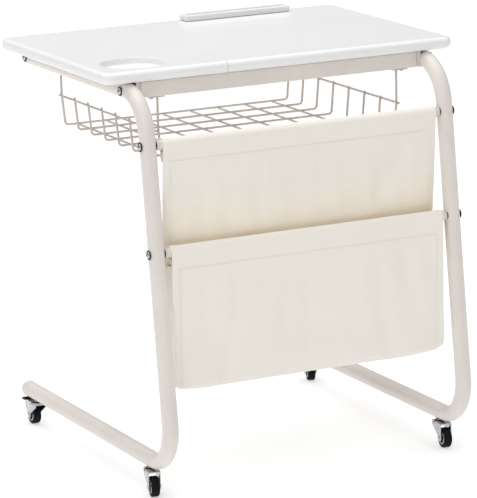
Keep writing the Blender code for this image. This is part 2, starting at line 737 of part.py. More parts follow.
def pedal_mesh():
    """A brake pedal about its pivot: a lever and a wide tread on a barrel with two stubs and a cam."""
    pivot = Vector((PEDAL_PIVOT[0], 0, PEDAL_PIVOT[1]))
    inside, through = FORK_INSIDE - GAP, FORK_OUTSIDE - GAP
    barrel = rods([((0, -inside, 0), (0, inside, 0))], PEDAL_BARREL_RADIUS, BORE_SIDES, "pedal_barrel")
    stubs = rods([((0, -through, 0), (0, through, 0))], PEDAL_STUB_RADIUS, BOLT_HOLE_SIDES, "pedal_stubs")
    low = (-PEDAL_CAM_HALF_LENGTH, -PEDAL_CAM_HALF_WIDTH, -PEDAL_CAM_DROP)
    cam = boxes([(low, (PEDAL_CAM_HALF_LENGTH, PEDAL_CAM_HALF_WIDTH, 0))], "pedal_cam")
    lever = boxes([(Vector(PEDAL_LOW) - pivot, Vector(PEDAL_HIGH) - pivot)], "pedal_lever")
    tread = boxes([(Vector(PEDAL_PAD_LOW) - pivot, Vector(PEDAL_PAD_HIGH) - pivot)], "pedal")
    pedal = bpy.data.objects.new("pedal", tread)
    CUTTERS.objects.link(pedal)
    bevel(pedal, PEDAL_EDGE, 1)
    for mesh in (lever, barrel, stubs, cam):
        boolean(pedal, add_cutter(mesh.name, mesh), "UNION")
    made = evaluated_mesh(pedal)
    bpy.data.objects.remove(pedal, do_unlink=True)
    return made


def stem_mesh():
    flange_top, flange_bottom = STEM_FLANGE_Z
    head_top, head_bottom = STEM_HEAD_Z
    profile = [
        (0, STEM_TOP_Z),
        (STEM_RADIUS - 0.001, STEM_TOP_Z),
        (STEM_RADIUS, STEM_TOP_Z - 0.001),
        (STEM_RADIUS, flange_top),
        (STEM_FLANGE_RADIUS, flange_top),
        (STEM_FLANGE_RADIUS, flange_bottom),
        (STEM_RADIUS, flange_bottom),
        (STEM_RADIUS, head_top),
        (STEM_HEAD_RADIUS, head_top),
        (STEM_HEAD_RADIUS, head_bottom),
        (0, head_bottom),
    ]
    return turned(profile, 14, False, "stem")


def axle_mesh():
    inner, outer = FORK_OUTSIDE + GAP, FORK_OUTSIDE + GAP + 0.0012
    profile = [
        (0, outer),
        (AXLE_HEAD_RADIUS, outer),
        (AXLE_HEAD_RADIUS, inner),
        (AXLE_RADIUS, inner),
        (AXLE_RADIUS, -inner),
        (AXLE_HEAD_RADIUS, -inner),
        (AXLE_HEAD_RADIUS, -outer),
        (0, -outer),
    ]
    return along(turned(profile, BORE_SIDES, False, "axle"), (0, 1, 0), (0, 0, 0))


def tyre_mesh():
    half, inner = WHEEL_HALF_WIDTH, RIM_RADIUS + GAP
    profile = [
        (WHEEL_RADIUS - 0.0016, half),
        (WHEEL_RADIUS, half - 0.0022),
        (WHEEL_RADIUS, 0.0022 - half),
        (WHEEL_RADIUS - 0.0016, -half),
        (inner, -half),
        (inner, half),
    ]
    return along(turned(profile, WHEEL_SIDES, True, "tyre"), (0, 1, 0), (0, 0, 0))


def hub_mesh():
    half, bore = WHEEL_HALF_WIDTH, AXLE_RADIUS + RUNNING_GAP
    web = half * 0.45
    lip = RIM_RADIUS - 0.0016
    profile = [
        (RIM_RADIUS, half),
        (RIM_RADIUS, -half),
        (lip, -half),
        (lip, -web),
        (HUB_BOSS_RADIUS, -web),
        (HUB_BOSS_RADIUS, -half),
        (bore, -half),
        (bore, half),
        (HUB_BOSS_RADIUS, half),
        (HUB_BOSS_RADIUS, web),
        (lip, web),
        (lip, half),
    ]
    return along(turned(profile, HUB_SIDES, True, "hub"), (0, 1, 0), (0, 0, 0))


def build_casters():
    forks = {where: fork_mesh(where) for where in CASTER_Y}
    shared = {"tyre": tyre_mesh(), "hub": hub_mesh(), "axle": axle_mesh(), "stem": stem_mesh()}
    pedal = pedal_mesh()
    looks = {"tyre": RUBBER, "hub": GREY_PLASTIC, "axle": CHROME, "stem": CHROME}
    for where, y in CASTER_Y.items():
        for side, sign in SIDES.items():
            corner = f"{where}_{side}"
            trail_x, trail_y = CASTER_TRAIL[corner]
            swivel = bpy.data.objects.new("swivel_" + corner, None)
            swivel.location = (sign * FRAME_X, y, 0)
            swivel.rotation_euler.z = math.atan2(trail_y, trail_x)
            PARTS.objects.link(swivel)
            pieces = [("caster_fork_" + corner, forks[where].copy(), CHROME, (0, 0, 0))]
            for kind, mesh in shared.items():
                place = (0, 0, 0) if kind == "stem" else (WHEEL_TRAIL, 0, WHEEL_RADIUS)
                pieces.append((f"caster_{kind}_{corner}", mesh.copy(), looks[kind], place))
            if where == "rear":
                place = (PEDAL_PIVOT[0], 0, PEDAL_PIVOT[1])
                pieces.append(("brake_pedal_" + corner, pedal.copy(), BLACK_PLASTIC, place))
            for name, mesh, look, place in pieces:
                obj = add_part(name, mesh, look)
                obj.parent = swivel
                obj.location = place


def main():
    build_tabletop()
    build_tablet_stop()
    for side, sign in SIDES.items():
        build_side_frame(side, sign)
        build_end_plug("top_plug_" + side, sign, TOP_ARM_END_Y, TOP_ARM_Z)
        build_end_plug("foot_plug_" + side, sign, FOOT_ARM_END_Y, FOOT_ARM_Z)
    for where, y in RAIL_Y.items():
        build_rail(where, y)
    for where, z in ROD_Z.items():
        build_rod(where, leg_y(z), z)
    build_fasteners()
    build_basket()
    build_tabletop_screws()
    build_pocket()
    build_casters()


clear_scene()
PARTS = new_collection("rolling_side_table")
CUTTERS = new_collection("cutters")
CUTTERS.hide_render = True
main()
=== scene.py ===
"""Looks for the rolling side table: fine meshes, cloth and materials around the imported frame.

Metres, +Z up. The legs and the canvas pocket face -Y. Places come from the frame's boxes and joints,
and the sizes that the frame can't give are named here.
"""

import json
import math
import random
from itertools import takewhile

import bmesh
import bpy
from mathutils import Matrix, Vector


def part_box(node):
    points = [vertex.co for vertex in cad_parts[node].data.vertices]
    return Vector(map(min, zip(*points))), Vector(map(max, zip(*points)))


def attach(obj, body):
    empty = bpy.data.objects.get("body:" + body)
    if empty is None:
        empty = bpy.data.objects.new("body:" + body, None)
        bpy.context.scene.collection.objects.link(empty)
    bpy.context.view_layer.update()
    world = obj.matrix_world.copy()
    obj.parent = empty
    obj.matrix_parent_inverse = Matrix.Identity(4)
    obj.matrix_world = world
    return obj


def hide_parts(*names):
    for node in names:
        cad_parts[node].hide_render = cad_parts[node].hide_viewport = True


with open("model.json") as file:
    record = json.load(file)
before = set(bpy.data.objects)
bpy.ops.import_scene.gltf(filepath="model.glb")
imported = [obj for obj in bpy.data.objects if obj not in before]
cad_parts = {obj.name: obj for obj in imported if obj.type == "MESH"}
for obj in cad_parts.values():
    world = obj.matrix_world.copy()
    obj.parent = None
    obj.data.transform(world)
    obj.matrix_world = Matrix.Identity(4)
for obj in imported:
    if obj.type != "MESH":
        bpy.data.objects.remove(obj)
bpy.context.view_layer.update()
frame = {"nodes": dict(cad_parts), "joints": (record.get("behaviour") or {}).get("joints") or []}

SIDES = {"left": -1, "right": 1}
SCENE = bpy.context.scene

# Sizes that the frame's boxes don't give
TUBE_RADIUS = 0.0125
TOP_BEND_RADIUS = 0.070
FOOT_BEND_RADIUS = 0.062
ARC_STEP = math.radians(3)
TOP_CORNER_RADIUS = 0.018
TOP_EDGE_RADIUS = 0.008
STOP_CORNER_RADIUS = 0.004
STOP_EDGE_RADIUS = 0.0026
SLOT_INSET = 0.008
SLOT_SPAN = (0.0105, 0.0175)  # from the stop's front face
SLOT_DEPTH = 0.0065
CUT_PAST = 0.01  # how far a cutter reaches past what it cuts
JOINT_X = -0.095
JOINT_HALF_WIDTH = 0.0005
JOINT_PROUD = 0.00006
CUP_CENTRE = (-0.222, -0.104)
CUP_RADIUS = 0.049
CUP_DEPTH = 0.010
WIRE_RADIUS = 0.00175
WIRE_LAP = 0.0026
WIRE_PAST = 0.003  # how far a wire runs past the last one it crosses
TAB_SPAN = (0.1965, 0.2225)
TAB_HALF_WIDTH = 0.007
TAB_THICKNESS = 0.0017
TAB_HOLE_X = 0.2155
BASKET_FLOOR_Z = 0.5025
BASKET_RIM_Z = 0.5515
BASKET_FLOOR_X = 0.2005
BASKET_RIM_X = 0.2055
BASKET_CORNER = 0.006
CROSS_WIRES = 8
FLOOR_WIRES = 8
ROD_RADIUS = 0.008
WHEEL_TRAIL = 0.017
WHEEL_RADIUS = 0.016
WHEEL_HALF_WIDTH = 0.0065
GASKET = 0.0019

# sRGB colours turned to linear by linear()
WHITE_LAMINATE = (240, 240, 240)
CREAM_PAINT = (228, 221, 214)
WIRE_PAINT = (202, 193, 186)
CANVAS_CREAM = (243, 238, 229)
POCKET_PAINTED_SHADE = (1.08, 1.0, 0.87)  # painted shade: a warm tint painted on the canvas deep in the pocket, for light that bounces between its walls
THREAD_CREAM = (236, 230, 218)
THREAD_PITCH = 0.0016


# Mesh helpers ---


def linear(colour):
    """An sRGB colour of 0 to 255 as linear values."""
    shares = [c / 255 for c in colour]
    return tuple(s / 12.92 if s <= 0.04045 else ((s + 0.055) / 1.055) ** 2.4 for s in shares)


def add_object(name, mesh):
    obj = bpy.data.objects.new(name, mesh)
    SCENE.collection.objects.link(obj)
    return obj


def mesh_of(bm, name):
    mesh = bpy.data.meshes.new(name)
    bm.to_mesh(mesh)
    bm.free()
    return mesh


def placed(bm, name):
    return add_object(name, mesh_of(bm, name))


def turned_to(direction):
    """The turn that takes +Z to a direction."""
    return Vector(direction).to_track_quat("Z", "Y").to_matrix().to_4x4()


def settle(obj):
    """Applies the object's modifiers."""
    bpy.context.view_layer.update()
    graph = bpy.context.evaluated_depsgraph_get()
    mesh = bpy.data.meshes.new_from_object(obj.evaluated_get(graph))
    obj.modifiers.clear()
    obj.data = mesh
    return obj


def shade(obj, degrees=35):
    obj.data.shade_smooth()
    obj.data.set_sharp_from_angle(angle=math.radians(degrees))
    return obj


def weighted(obj):
    """Flat faces keep flat shading next to rounded edges."""
    modifier = obj.modifiers.new("Weighted_normals", "WEIGHTED_NORMAL")
    modifier.keep_sharp = True
    return obj


def block(low, high):
    bm = bmesh.new()
    place = Matrix.Translation((low + high) / 2) @ Matrix.Diagonal((*(high - low), 1))
    bmesh.ops.create_cube(bm, size=1, matrix=place)
    return bm


def box(low, high, name, edge=0.0, segments=3):
    bm = block(Vector(low), Vector(high))
    if edge:
        bmesh.ops.bevel(bm, geom=bm.edges, offset=edge, segments=segments, profile=0.5, affect="EDGES")
    return placed(bm, name)


def rod(start, end, radius, name, sides=32):
    start, end = Vector(start), Vector(end)
    bm = bmesh.new()
    bmesh.ops.create_cone(
        bm, cap_ends=True, segments=sides, radius1=radius, radius2=radius,
        depth=(end - start).length, matrix=Matrix.Translation((start + end) / 2) @ turned_to(end - start),
    )
    return placed(bm, name)


def tubes(paths, radius, sides, name):
    curve = bpy.data.curves.new(name, "CURVE")
    curve.dimensions = "3D"
    for path in paths:
        spline = curve.splines.new("POLY")
        spline.points.add(len(path) - 1)
        for place, point in zip(path, spline.points, strict=True):
            point.co = (*place, 1)
    curve.bevel_depth = radius
    curve.bevel_resolution = (sides - 4) // 2
    curve.use_fill_caps = True
    obj = add_object(name + "_line", curve)
    bpy.context.view_layer.update()
    mesh = bpy.data.meshes.new_from_object(obj.evaluated_get(bpy.context.evaluated_depsgraph_get()))
    bpy.data.objects.remove(obj, do_unlink=True)
    bpy.data.curves.remove(curve)
    bm = bmesh.new()
    bm.from_mesh(mesh)
    bmesh.ops.remove_doubles(bm, verts=bm.verts, dist=1e-6)
    bmesh.ops.recalc_face_normals(bm, faces=bm.faces)
    bpy.data.meshes.remove(mesh)
    return shade(placed(bm, name), 50)


def turned(profile, name, sides=32, closed=False, axis=(0, 0, 1), at=(0, 0, 0), degrees=35):
    """A profile of (radius, height) points from top to bottom, turned about axis."""
    bm = bmesh.new()
    points = [bm.verts.new((radius, 0, height)) for radius, height in profile]
    for start, end in zip(points, points[1:]):
        bm.edges.new((start, end))
    if closed:
        bm.edges.new((points[-1], points[0]))
    obj = placed(bm, name)
    screw = obj.modifiers.new("Turned", "SCREW")
    screw.steps = screw.render_steps = sides
    screw.use_merge_vertices = True
    screw.merge_threshold = 0.00001
    settle(obj)
    obj.data.transform(Matrix.Translation(at) @ turned_to(axis))
    return shade(obj, degrees)


def arc_points(centre, radius, start, end, steps):
    """Points along an arc; angles in degrees."""
    found = []
    for index in range(steps + 1):
        angle = math.radians(start + (end - start) * index / steps)
        found.append((centre[0] + radius * math.cos(angle), centre[1] + radius * math.sin(angle)))
    return found


def filleted(corners, radii, step=ARC_STEP):
    """A path through corners with each inner corner rounded to its radius."""
    corners = [Vector(corner) for corner in corners]
    path = [corners[0]]
    for before, corner, after, radius in zip(corners, corners[1:], corners[2:], radii):
        to_before = (before - corner).normalized()
        to_after = (after - corner).normalized()
        turn = math.pi - to_before.angle(to_after)
        start = corner + to_before * radius * math.tan(turn / 2)
        middle = corner + (to_before + to_after).normalized() * radius / math.cos(turn / 2)
        out = (start - middle).normalized()
        steps = max(3, round(turn / step))
        for index in range(steps + 1):
            angle = turn * index / steps
            path.append(middle + radius * (math.cos(angle) * out - math.sin(angle) * to_before))
    path.append(corners[-1])
    return path


def combine(obj, other, operation):
    modifier = obj.modifiers.new(operation.title(), "BOOLEAN")
    modifier.operation = operation
    modifier.solver = "EXACT"
    modifier.object = other
    settle(obj)
    bpy.data.objects.remove(other, do_unlink=True)
    return obj


def round_edges(obj, width, segments=3, degrees=40):
    modifier = obj.modifiers.new("Rounded", "BEVEL")
    modifier.width = width
    modifier.segments = segments
    modifier.limit_method = "ANGLE"
    modifier.angle_limit = math.radians(degrees)
    return settle(obj)


def joined(objects, name):
    """Several meshes as one object, left as separate shells."""
    bm = bmesh.new()
    for obj in objects:
        mesh = obj.data.copy()
        mesh.transform(obj.matrix_world)
        bm.from_mesh(mesh)
        bpy.data.objects.remove(obj, do_unlink=True)
    return placed(bm, name)


def stand_in(obj, look, slot, body, *nodes):
    """The object takes a material, rides on a body and stands for CAD nodes."""
    obj.data.materials.clear()
    obj.data.materials.append(look)
    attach(obj, body)
    if nodes:
        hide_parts(*nodes)
    return obj


def centre_of(node):
    low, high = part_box(node)
    return (low + high) / 2


# Materials ---


class Finish:
    """A Principled material and the few nodes that give it detail."""

    def __init__(self, name, colour, roughness, metallic=0.0, place="Object"):
        self.material = bpy.data.materials.new(name)
        self.material.use_nodes = True
        self.tree = self.material.node_tree
        self.shader = self.tree.nodes["Principled BSDF"]
        self.colour = linear(colour)
        self.set("Base Color", (*self.colour, 1))
        self.set("Roughness", roughness)
        self.set("Metallic", metallic)
        self.height = None
        self.place = self.tree.nodes.new("ShaderNodeTexCoord").outputs[place]

    def set(self, socket, value):
        self.shader.inputs[socket].default_value = value

    def link(self, source, target):
        self.tree.links.new(source, target)

    def noise(self, scale, detail=3.0, stretch=(1, 1, 1), place=None):
        mapping = self.tree.nodes.new("ShaderNodeMapping")
        mapping.inputs["Scale"].default_value = stretch
        self.link(place or self.place, mapping.inputs["Vector"])
        made = self.tree.nodes.new("ShaderNodeTexNoise")
        made.inputs["Scale"].default_value = scale
        made.inputs["Detail"].default_value = detail
        self.link(mapping.outputs["Vector"], made.inputs["Vector"])
        return made.outputs["Fac"]

    def tint(self, fac, spread, stops=(0.3, 0.7)):
        """Colour that varies by spread, a share of the base colour."""
        made = self.tree.nodes.new("ShaderNodeValToRGB")
        for stop, position, change in zip(made.color_ramp.elements, stops, (-spread, spread), strict=True):
            stop.position = position
            stop.color = (*(min(1, c * (1 + change)) for c in self.colour), 1)
        self.link(fac, made.inputs["Fac"])
        self.link(made.outputs["Color"], self.shader.inputs["Base Color"])

    def paint_shade(self, fac, share):
        """Painted shade: multiplies the colour by share where fac is 1."""
        made = self.tree.nodes.new("ShaderNodeMix")
        made.data_type = "RGBA"
        made.blend_type = "MULTIPLY"
        factor, first, second = made.inputs[0], made.inputs[6], made.inputs[7]
        second.default_value = (*share, 1)
        self.link(fac, factor)
        self.link(self.shader.inputs["Base Color"].links[0].from_socket, first)
        self.link(made.outputs[2], self.shader.inputs["Base Color"])

    def math(self, operation, first, second):
        made = self.tree.nodes.new("ShaderNodeMath")
        made.operation = operation
        for value, socket in ((first, made.inputs[0]), (second, made.inputs[1])):
            if isinstance(value, (int, float)):
                socket.default_value = value
            else:
                self.link(value, socket)
        return made.outputs[0]

    def roughen(self, fac, low, high):
        made = self.tree.nodes.new("ShaderNodeMapRange")
        made.inputs["To Min"].default_value = low
        made.inputs["To Max"].default_value = high
        self.link(fac, made.inputs["Value"])
        self.link(made.outputs["Result"], self.shader.inputs["Roughness"])

    def bump(self, height, distance, strength=1.0):
        made = self.tree.nodes.new("ShaderNodeBump")
        made.inputs["Strength"].default_value = strength
        made.inputs["Distance"].default_value = distance
        self.link(height, made.inputs["Height"])
        if self.height:
            self.link(self.height, made.inputs["Normal"])
        self.height = made.outputs["Normal"]
        self.link(self.height, self.shader.inputs["Normal"])


def laminate():
    """Foil-wrapped board: a satin face with a very fine pebble."""
    made = Finish("white_laminate", WHITE_LAMINATE, 0.34)
    made.tint(made.noise(9, 4), 0.012)
    made.roughen(made.noise(60, 5), 0.28, 0.42)
    made.bump(made.noise(1600, 2), 0.00004, 0.5)
    made.set("Coat Weight", 0.15)
    made.set("Coat Roughness", 0.25)
    return made.material


def powder_coat(name, colour):
    """Baked powder: a soft orange peel with tiny grains."""
    made = Finish(name, colour, 0.40)
    made.tint(made.noise(22, 4), 0.025)
    made.roughen(made.noise(140, 4), 0.34, 0.50)
    made.bump(made.noise(420, 2), 0.00012, 0.5)
    made.bump(made.noise(2600, 1), 0.00004, 0.6)
    made.set("Coat Weight", 0.12)
    made.set("Coat Roughness", 0.30)
    return made.material


def moulded(name, colour, roughness):
    """Moulded plastic with a spark-eroded texture."""
    made = Finish(name, colour, roughness)
    made.tint(made.noise(50, 3), 0.04)
    made.roughen(made.noise(300, 4), roughness - 0.07, roughness + 0.10)
    made.bump(made.noise(1900, 3), 0.00005, 0.7)
    return made.material


def plated():
    """Bright zinc or nickel plate: fine brushing and a few dull patches."""
    made = Finish("bright_plate", (188, 188, 192), 0.14, metallic=1.0)
    made.tint(made.noise(120, 3), 0.05)
    made.roughen(made.noise(240, 5), 0.08, 0.28)
    made.bump(made.noise(500, 3, stretch=(1, 1, 9)), 0.00003, 0.5)
    return made.material


def rubber():
    made = Finish("black_rubber", (6, 6, 7), 0.60)
    made.tint(made.noise(90, 4), 0.25)
    made.roughen(made.noise(200, 4), 0.50, 0.75)
    made.bump(made.noise(1500, 3), 0.00006, 0.8)
    made.set("Specular IOR Level", 0.18)
    return made.material


def canvas():
    """Plain-weave cotton: thread bumps, slubs in both directions, a soft sheen and a warm painted shade deep
    in the pocket.
    """
    made = Finish("cream_canvas", CANVAS_CREAM, 0.92)
    place = made.tree.nodes.new("ShaderNodeAttribute")
    place.attribute_name = "cloth_place"
    split = made.tree.nodes.new("ShaderNodeSeparateXYZ")
    made.link(place.outputs["Vector"], split.inputs[0])
    period = 2 * math.pi / THREAD_PITCH
    warp = made.math("SINE", made.math("MULTIPLY", split.outputs[0], period), 0)
    weft = made.math("SINE", made.math("MULTIPLY", split.outputs[1], period), 0)
    weave = made.math("MULTIPLY", warp, weft)
    slub_u = made.noise(1, 3, (26, 900, 1), place.outputs["Vector"])
    slub_v = made.noise(1, 3, (900, 26, 1), place.outputs["Vector"])
    slubs = made.math("MULTIPLY", made.math("ADD", slub_u, slub_v), 0.5)
    cloudy = made.noise(11, 3)
    uneven = made.math("ADD", made.math("MULTIPLY", slubs, 0.6), made.math("MULTIPLY", cloudy, 0.4))
    made.tint(uneven, 0.016, (0.35, 0.65))
    # painted shade: canvas that faces the front, low on the back panel inside the pocket, takes a warmer,
    # darker tint
    facing = made.tree.nodes.new("ShaderNodeSeparateXYZ")
    made.link(made.tree.nodes.new("ShaderNodeTexCoord").outputs["Normal"], facing.inputs[0])
    painted_shade_facing = made.math("MAXIMUM", made.math("MULTIPLY", facing.outputs[1], -1), 0)
    made.paint_shade(made.math("MULTIPLY", split.outputs[2], painted_shade_facing), POCKET_PAINTED_SHADE)
    made.bump(weave, 0.00008, 0.30)
    made.bump(slubs, 0.00010, 0.30)
    made.set("Sheen Weight", 0.25)
    made.set("Sheen Roughness", 0.5)
    made.set("Specular IOR Level", 0.2)
    return made.material


def thread():
    made = Finish("stitch_thread", THREAD_CREAM, 0.8)
    made.tint(made.noise(900, 2), 0.06)
    made.bump(made.noise(1, 1, (2500, 2500, 2500)), 0.00005, 0.6)
    return made.material


LOOK = {
    "laminate": laminate(),
    "paint": powder_coat("cream_powder_coat", CREAM_PAINT),
    "wire": powder_coat("basket_powder_coat", WIRE_PAINT),
    "plug": moulded("cream_plastic", (224, 216, 206), 0.45),
    "stop": moulded("pale_grey_plastic", (231, 230, 229), 0.42),
    "seam": moulded("seam_grey", (196, 194, 192), 0.5),
    "black": moulded("black_plastic", (8, 8, 9), 0.45),
    "plate": plated(),
    "rubber": rubber(),
    "canvas": canvas(),
    "thread": thread(),
}


# Tabletop ---


def cornered(low, high, name, radius, segments):
    """A block with its four upright edges rounded."""
    bm = block(low, high)
    upright = [e for e in bm.edges if abs(e.verts[0].co.z - e.verts[1].co.z) > (high.z - low.z) / 2]
    bmesh.ops.bevel(bm, geom=upright, offset=radius, segments=segments, profile=0.5, affect="EDGES")
    return placed(bm, name)


def build_tabletop():
    low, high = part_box("tabletop")
    top = cornered(low, high, "white_board", TOP_CORNER_RADIUS, 12)
    round_edges(top, TOP_EDGE_RADIUS, 7, 50)
    lip, floor_round = 0.0012, 0.0030
    profile = [(0, 0.01), (CUP_RADIUS + lip, 0.01)]
    profile += arc_points((CUP_RADIUS + lip, -lip), lip, 90, 180, 4)
    profile += arc_points((CUP_RADIUS - floor_round, floor_round - CUP_DEPTH), floor_round, 0, -90, 5)
    profile += [(0, -CUP_DEPTH)]
    cutter = turned(profile, "cup_cutter", 96, at=(*CUP_CENTRE, high.z))
    combine(top, cutter, "DIFFERENCE")
    shade(top, 30)
    weighted(top)
    stand_in(top, LOOK["laminate"], "tabletop", "frame", "tabletop")
    build_edge_joint(low, high)


def build_edge_joint(low, high):
    """Where the two ends of the edge wrap meet: a hairline over the front edge."""
    middle_y, radius = low.y + TOP_EDGE_RADIUS, TOP_EDGE_RADIUS + JOINT_PROUD
    line = arc_points((middle_y, high.z - TOP_EDGE_RADIUS), radius, 90, 180, 8)
    line += arc_points((middle_y, low.z + TOP_EDGE_RADIUS), radius, 180, 262, 8)
    bm = bmesh.new()
    edges = (JOINT_X - JOINT_HALF_WIDTH, JOINT_X + JOINT_HALF_WIDTH)
    rows = [[bm.verts.new((x, y, z)) for x in edges] for y, z in line]
    for first, second in zip(rows, rows[1:]):
        bm.faces.new((first[0], second[0], second[1], first[1]))
    seam = placed(bm, "edge_joint")
    solid = seam.modifiers.new("Thickness", "SOLIDIFY")
    solid.thickness = 0.0001
    stand_in(shade(settle(seam)), LOOK["seam"], "tabletop", "frame")


def build_tablet_stop():
    low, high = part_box("tablet_stop")
    stop = cornered(low, high, "tablet_rest", STOP_CORNER_RADIUS, 6)
    round_edges(stop, STOP_EDGE_RADIUS, 5, 50)
    front, rear = SLOT_SPAN
    slot_low = (low.x + SLOT_INSET, low.y + front, high.z - SLOT_DEPTH)
    slot_high = (high.x - SLOT_INSET, low.y + rear, high.z + CUT_PAST)
    slot = box(slot_low, slot_high, "slot", 0.001)
    combine(stop, slot, "DIFFERENCE")
    shade(stop, 30)
    weighted(stop)
    stand_in(stop, LOOK["stop"], "tablet_stop", "frame", "tablet_stop")


# Frame ---


def rod_line(z):
    """The leg's Y at a height, from the two rods that cross it."""
    upper, lower = centre_of("upper_rod"), centre_of("lower_rod")
    return lower.y + (upper.y - lower.y) * (z - lower.z) / (upper.z - lower.z)


def frame_path(x):
    arm_z = centre_of("top_plug_left").z
    foot_z = centre_of("foot_plug_left").z
    arm_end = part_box("top_plug_left")[1].y - 0.005
    foot_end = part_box("foot_plug_left")[1].y - 0.005
    corners = [
        (x, arm_end, arm_z),
        (x, rod_line(arm_z), arm_z),
        (x, rod_line(foot_z), foot_z),
        (x, foot_end, foot_z),
    ]
    return filleted(corners, (TOP_BEND_RADIUS, FOOT_BEND_RADIUS))


def build_frames():
    for side in SIDES:
        x = centre_of("top_plug_" + side).x
        tube = tubes([frame_path(x)], TUBE_RADIUS, 40, "bent_tube_" + side)
        stand_in(tube, LOOK["paint"], "frame", "frame", "side_frame_" + side)
        for where in ("top", "foot"):
            node = f"{where}_plug_{side}"
            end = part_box(node)[1].y
            dome, lip = 0.0047, 0.0006
            angles = (0.3, 0.6, 0.85, 1.08, 1.27, 1.42)
            profile = [(0, dome)]
            profile += [(TUBE_RADIUS * math.sin(a), dome * math.cos(a)) for a in angles]
            profile += [(TUBE_RADIUS + 0.0002, lip), (TUBE_RADIUS, 0), (0, 0)]
            centre = centre_of(node)
            at = (centre.x, end - dome, centre.z)
            plug = turned(profile, f"end_cap_{where}_{side}", 40, axis=(0, 1, 0), at=at)
            stand_in(plug, LOOK["plug"], "plug", "frame", node)


def build_rails_and_rods():
    for where in ("front", "rear"):
        low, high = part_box(where + "_rail")
        rail = box(low, high, "cross_rail_" + where, 0.0022, 4)
        weighted(shade(rail, 30))
        stand_in(rail, LOOK["paint"], "frame", "frame", where + "_rail")
    for where in ("upper", "lower"):
        low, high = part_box(where + "_rod")
        centre = (low + high) / 2
        start, end = ((x, centre.y, centre.z) for x in (low.x, high.x))
        bar = round_edges(rod(start, end, ROD_RADIUS, "cloth_rod_" + where, 40), 0.0006, 3)
        stand_in(shade(bar), LOOK["paint"], "frame", "frame", where + "_rod")


def bolt_look():
    """A button-head bolt along +Z from 0, and the black ring under it: a washer whose black also paints in
    the dark reflected edge around the bright head.
    """
    head, radius, washer = 0.0036, 0.0052, 0.0010
    crown = head - washer
    profile = [(0, head)]
    profile += [(radius * math.sin(a), washer + crown * math.cos(a)) for a in (0.45, 0.75, 1.0, 1.25, 1.45)]
    profile += [(radius, washer), (radius, washer / 2), (0, washer / 2)]
    bolt = turned(profile, "bolt_master", 40)
    socket = rod((0, 0, head * 0.3), (0, 0, 2 * head), 0.0023, "socket", 6)
    combine(bolt, socket, "DIFFERENCE")
    round_edges(bolt, 0.00018, 2, 50)
    rim = radius + 0.0022
    section = [(radius, washer), (rim - 0.0004, washer), (rim, washer / 2), (rim, 0)]
    ring = turned([(0, washer * 0.9), *section, (0, 0)], "ring_master", 40)
    return bolt, ring


def build_saddle(node, sign):
    """A cream seat on the rod or rail, and a thin black gasket against the tube, whose black also paints in
    the shaded gap there.
    """
    low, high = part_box(node)
    outer = high.x if sign > 0 else low.x
    cut = outer - sign * GASKET
    # the thin black piece is partly painted shade: a washer, and also the dark of the gap against the tube
    for part, keep_inner, look in (("seat", True, "plug"), ("gasket_and_gap_shade", False, "black")):
        bm = bmesh.new()
        bm.from_mesh(frame["nodes"][node].data)
        faces = bm.verts[:] + bm.edges[:] + bm.faces[:]
        normal = (sign, 0, 0) if keep_inner else (-sign, 0, 0)
        bmesh.ops.bisect_plane(bm, geom=faces, plane_co=(cut, 0, 0), plane_no=normal, clear_outer=True)
        bmesh.ops.holes_fill(bm, edges=[e for e in bm.edges if e.is_boundary], sides=0)
        piece = add_object(f"{node}_{part}", mesh_of(bm, part))
        stand_in(shade(piece, 30), LOOK[look], "saddle", "frame", node)


def build_bolts():
    masters = bolt_look()
    for name in ("front_rail", "rear_rail", "upper_rod", "lower_rod"):
        for side, sign in SIDES.items():
            node = f"{name}_bolt_{side}"
            centre = centre_of(node)
            low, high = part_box(f"side_frame_{side}")
            x = high.x if sign > 0 else low.x
            place = Matrix.Translation((x + sign * 0.0001, centre.y, centre.z)) @ turned_to((sign, 0, 0))
            # the black ring is partly painted reflection: a washer, and also the dark edge seen around the
            # bright head
            for part, master, look in zip(("button", "ring"), masters, ("plate", "black"), strict=True):
                bolt = add_object(f"{part}_{name}_{side}", master.data.copy())
                bolt.data.transform(place)
                stand_in(shade(bolt, 30), LOOK[look], "bolt", "frame", node)
            build_saddle(f"{name}_saddle_{side}", sign)
    for master in masters:
        bpy.data.objects.remove(master, do_unlink=True)
    for where in ("front", "rear"):
        for side in SIDES:
            screw = frame["nodes"][f"tabletop_screw_{where}_{side}"]
            screw.data.materials.clear()
            screw.data.materials.append(LOOK["plate"])


# Basket ---


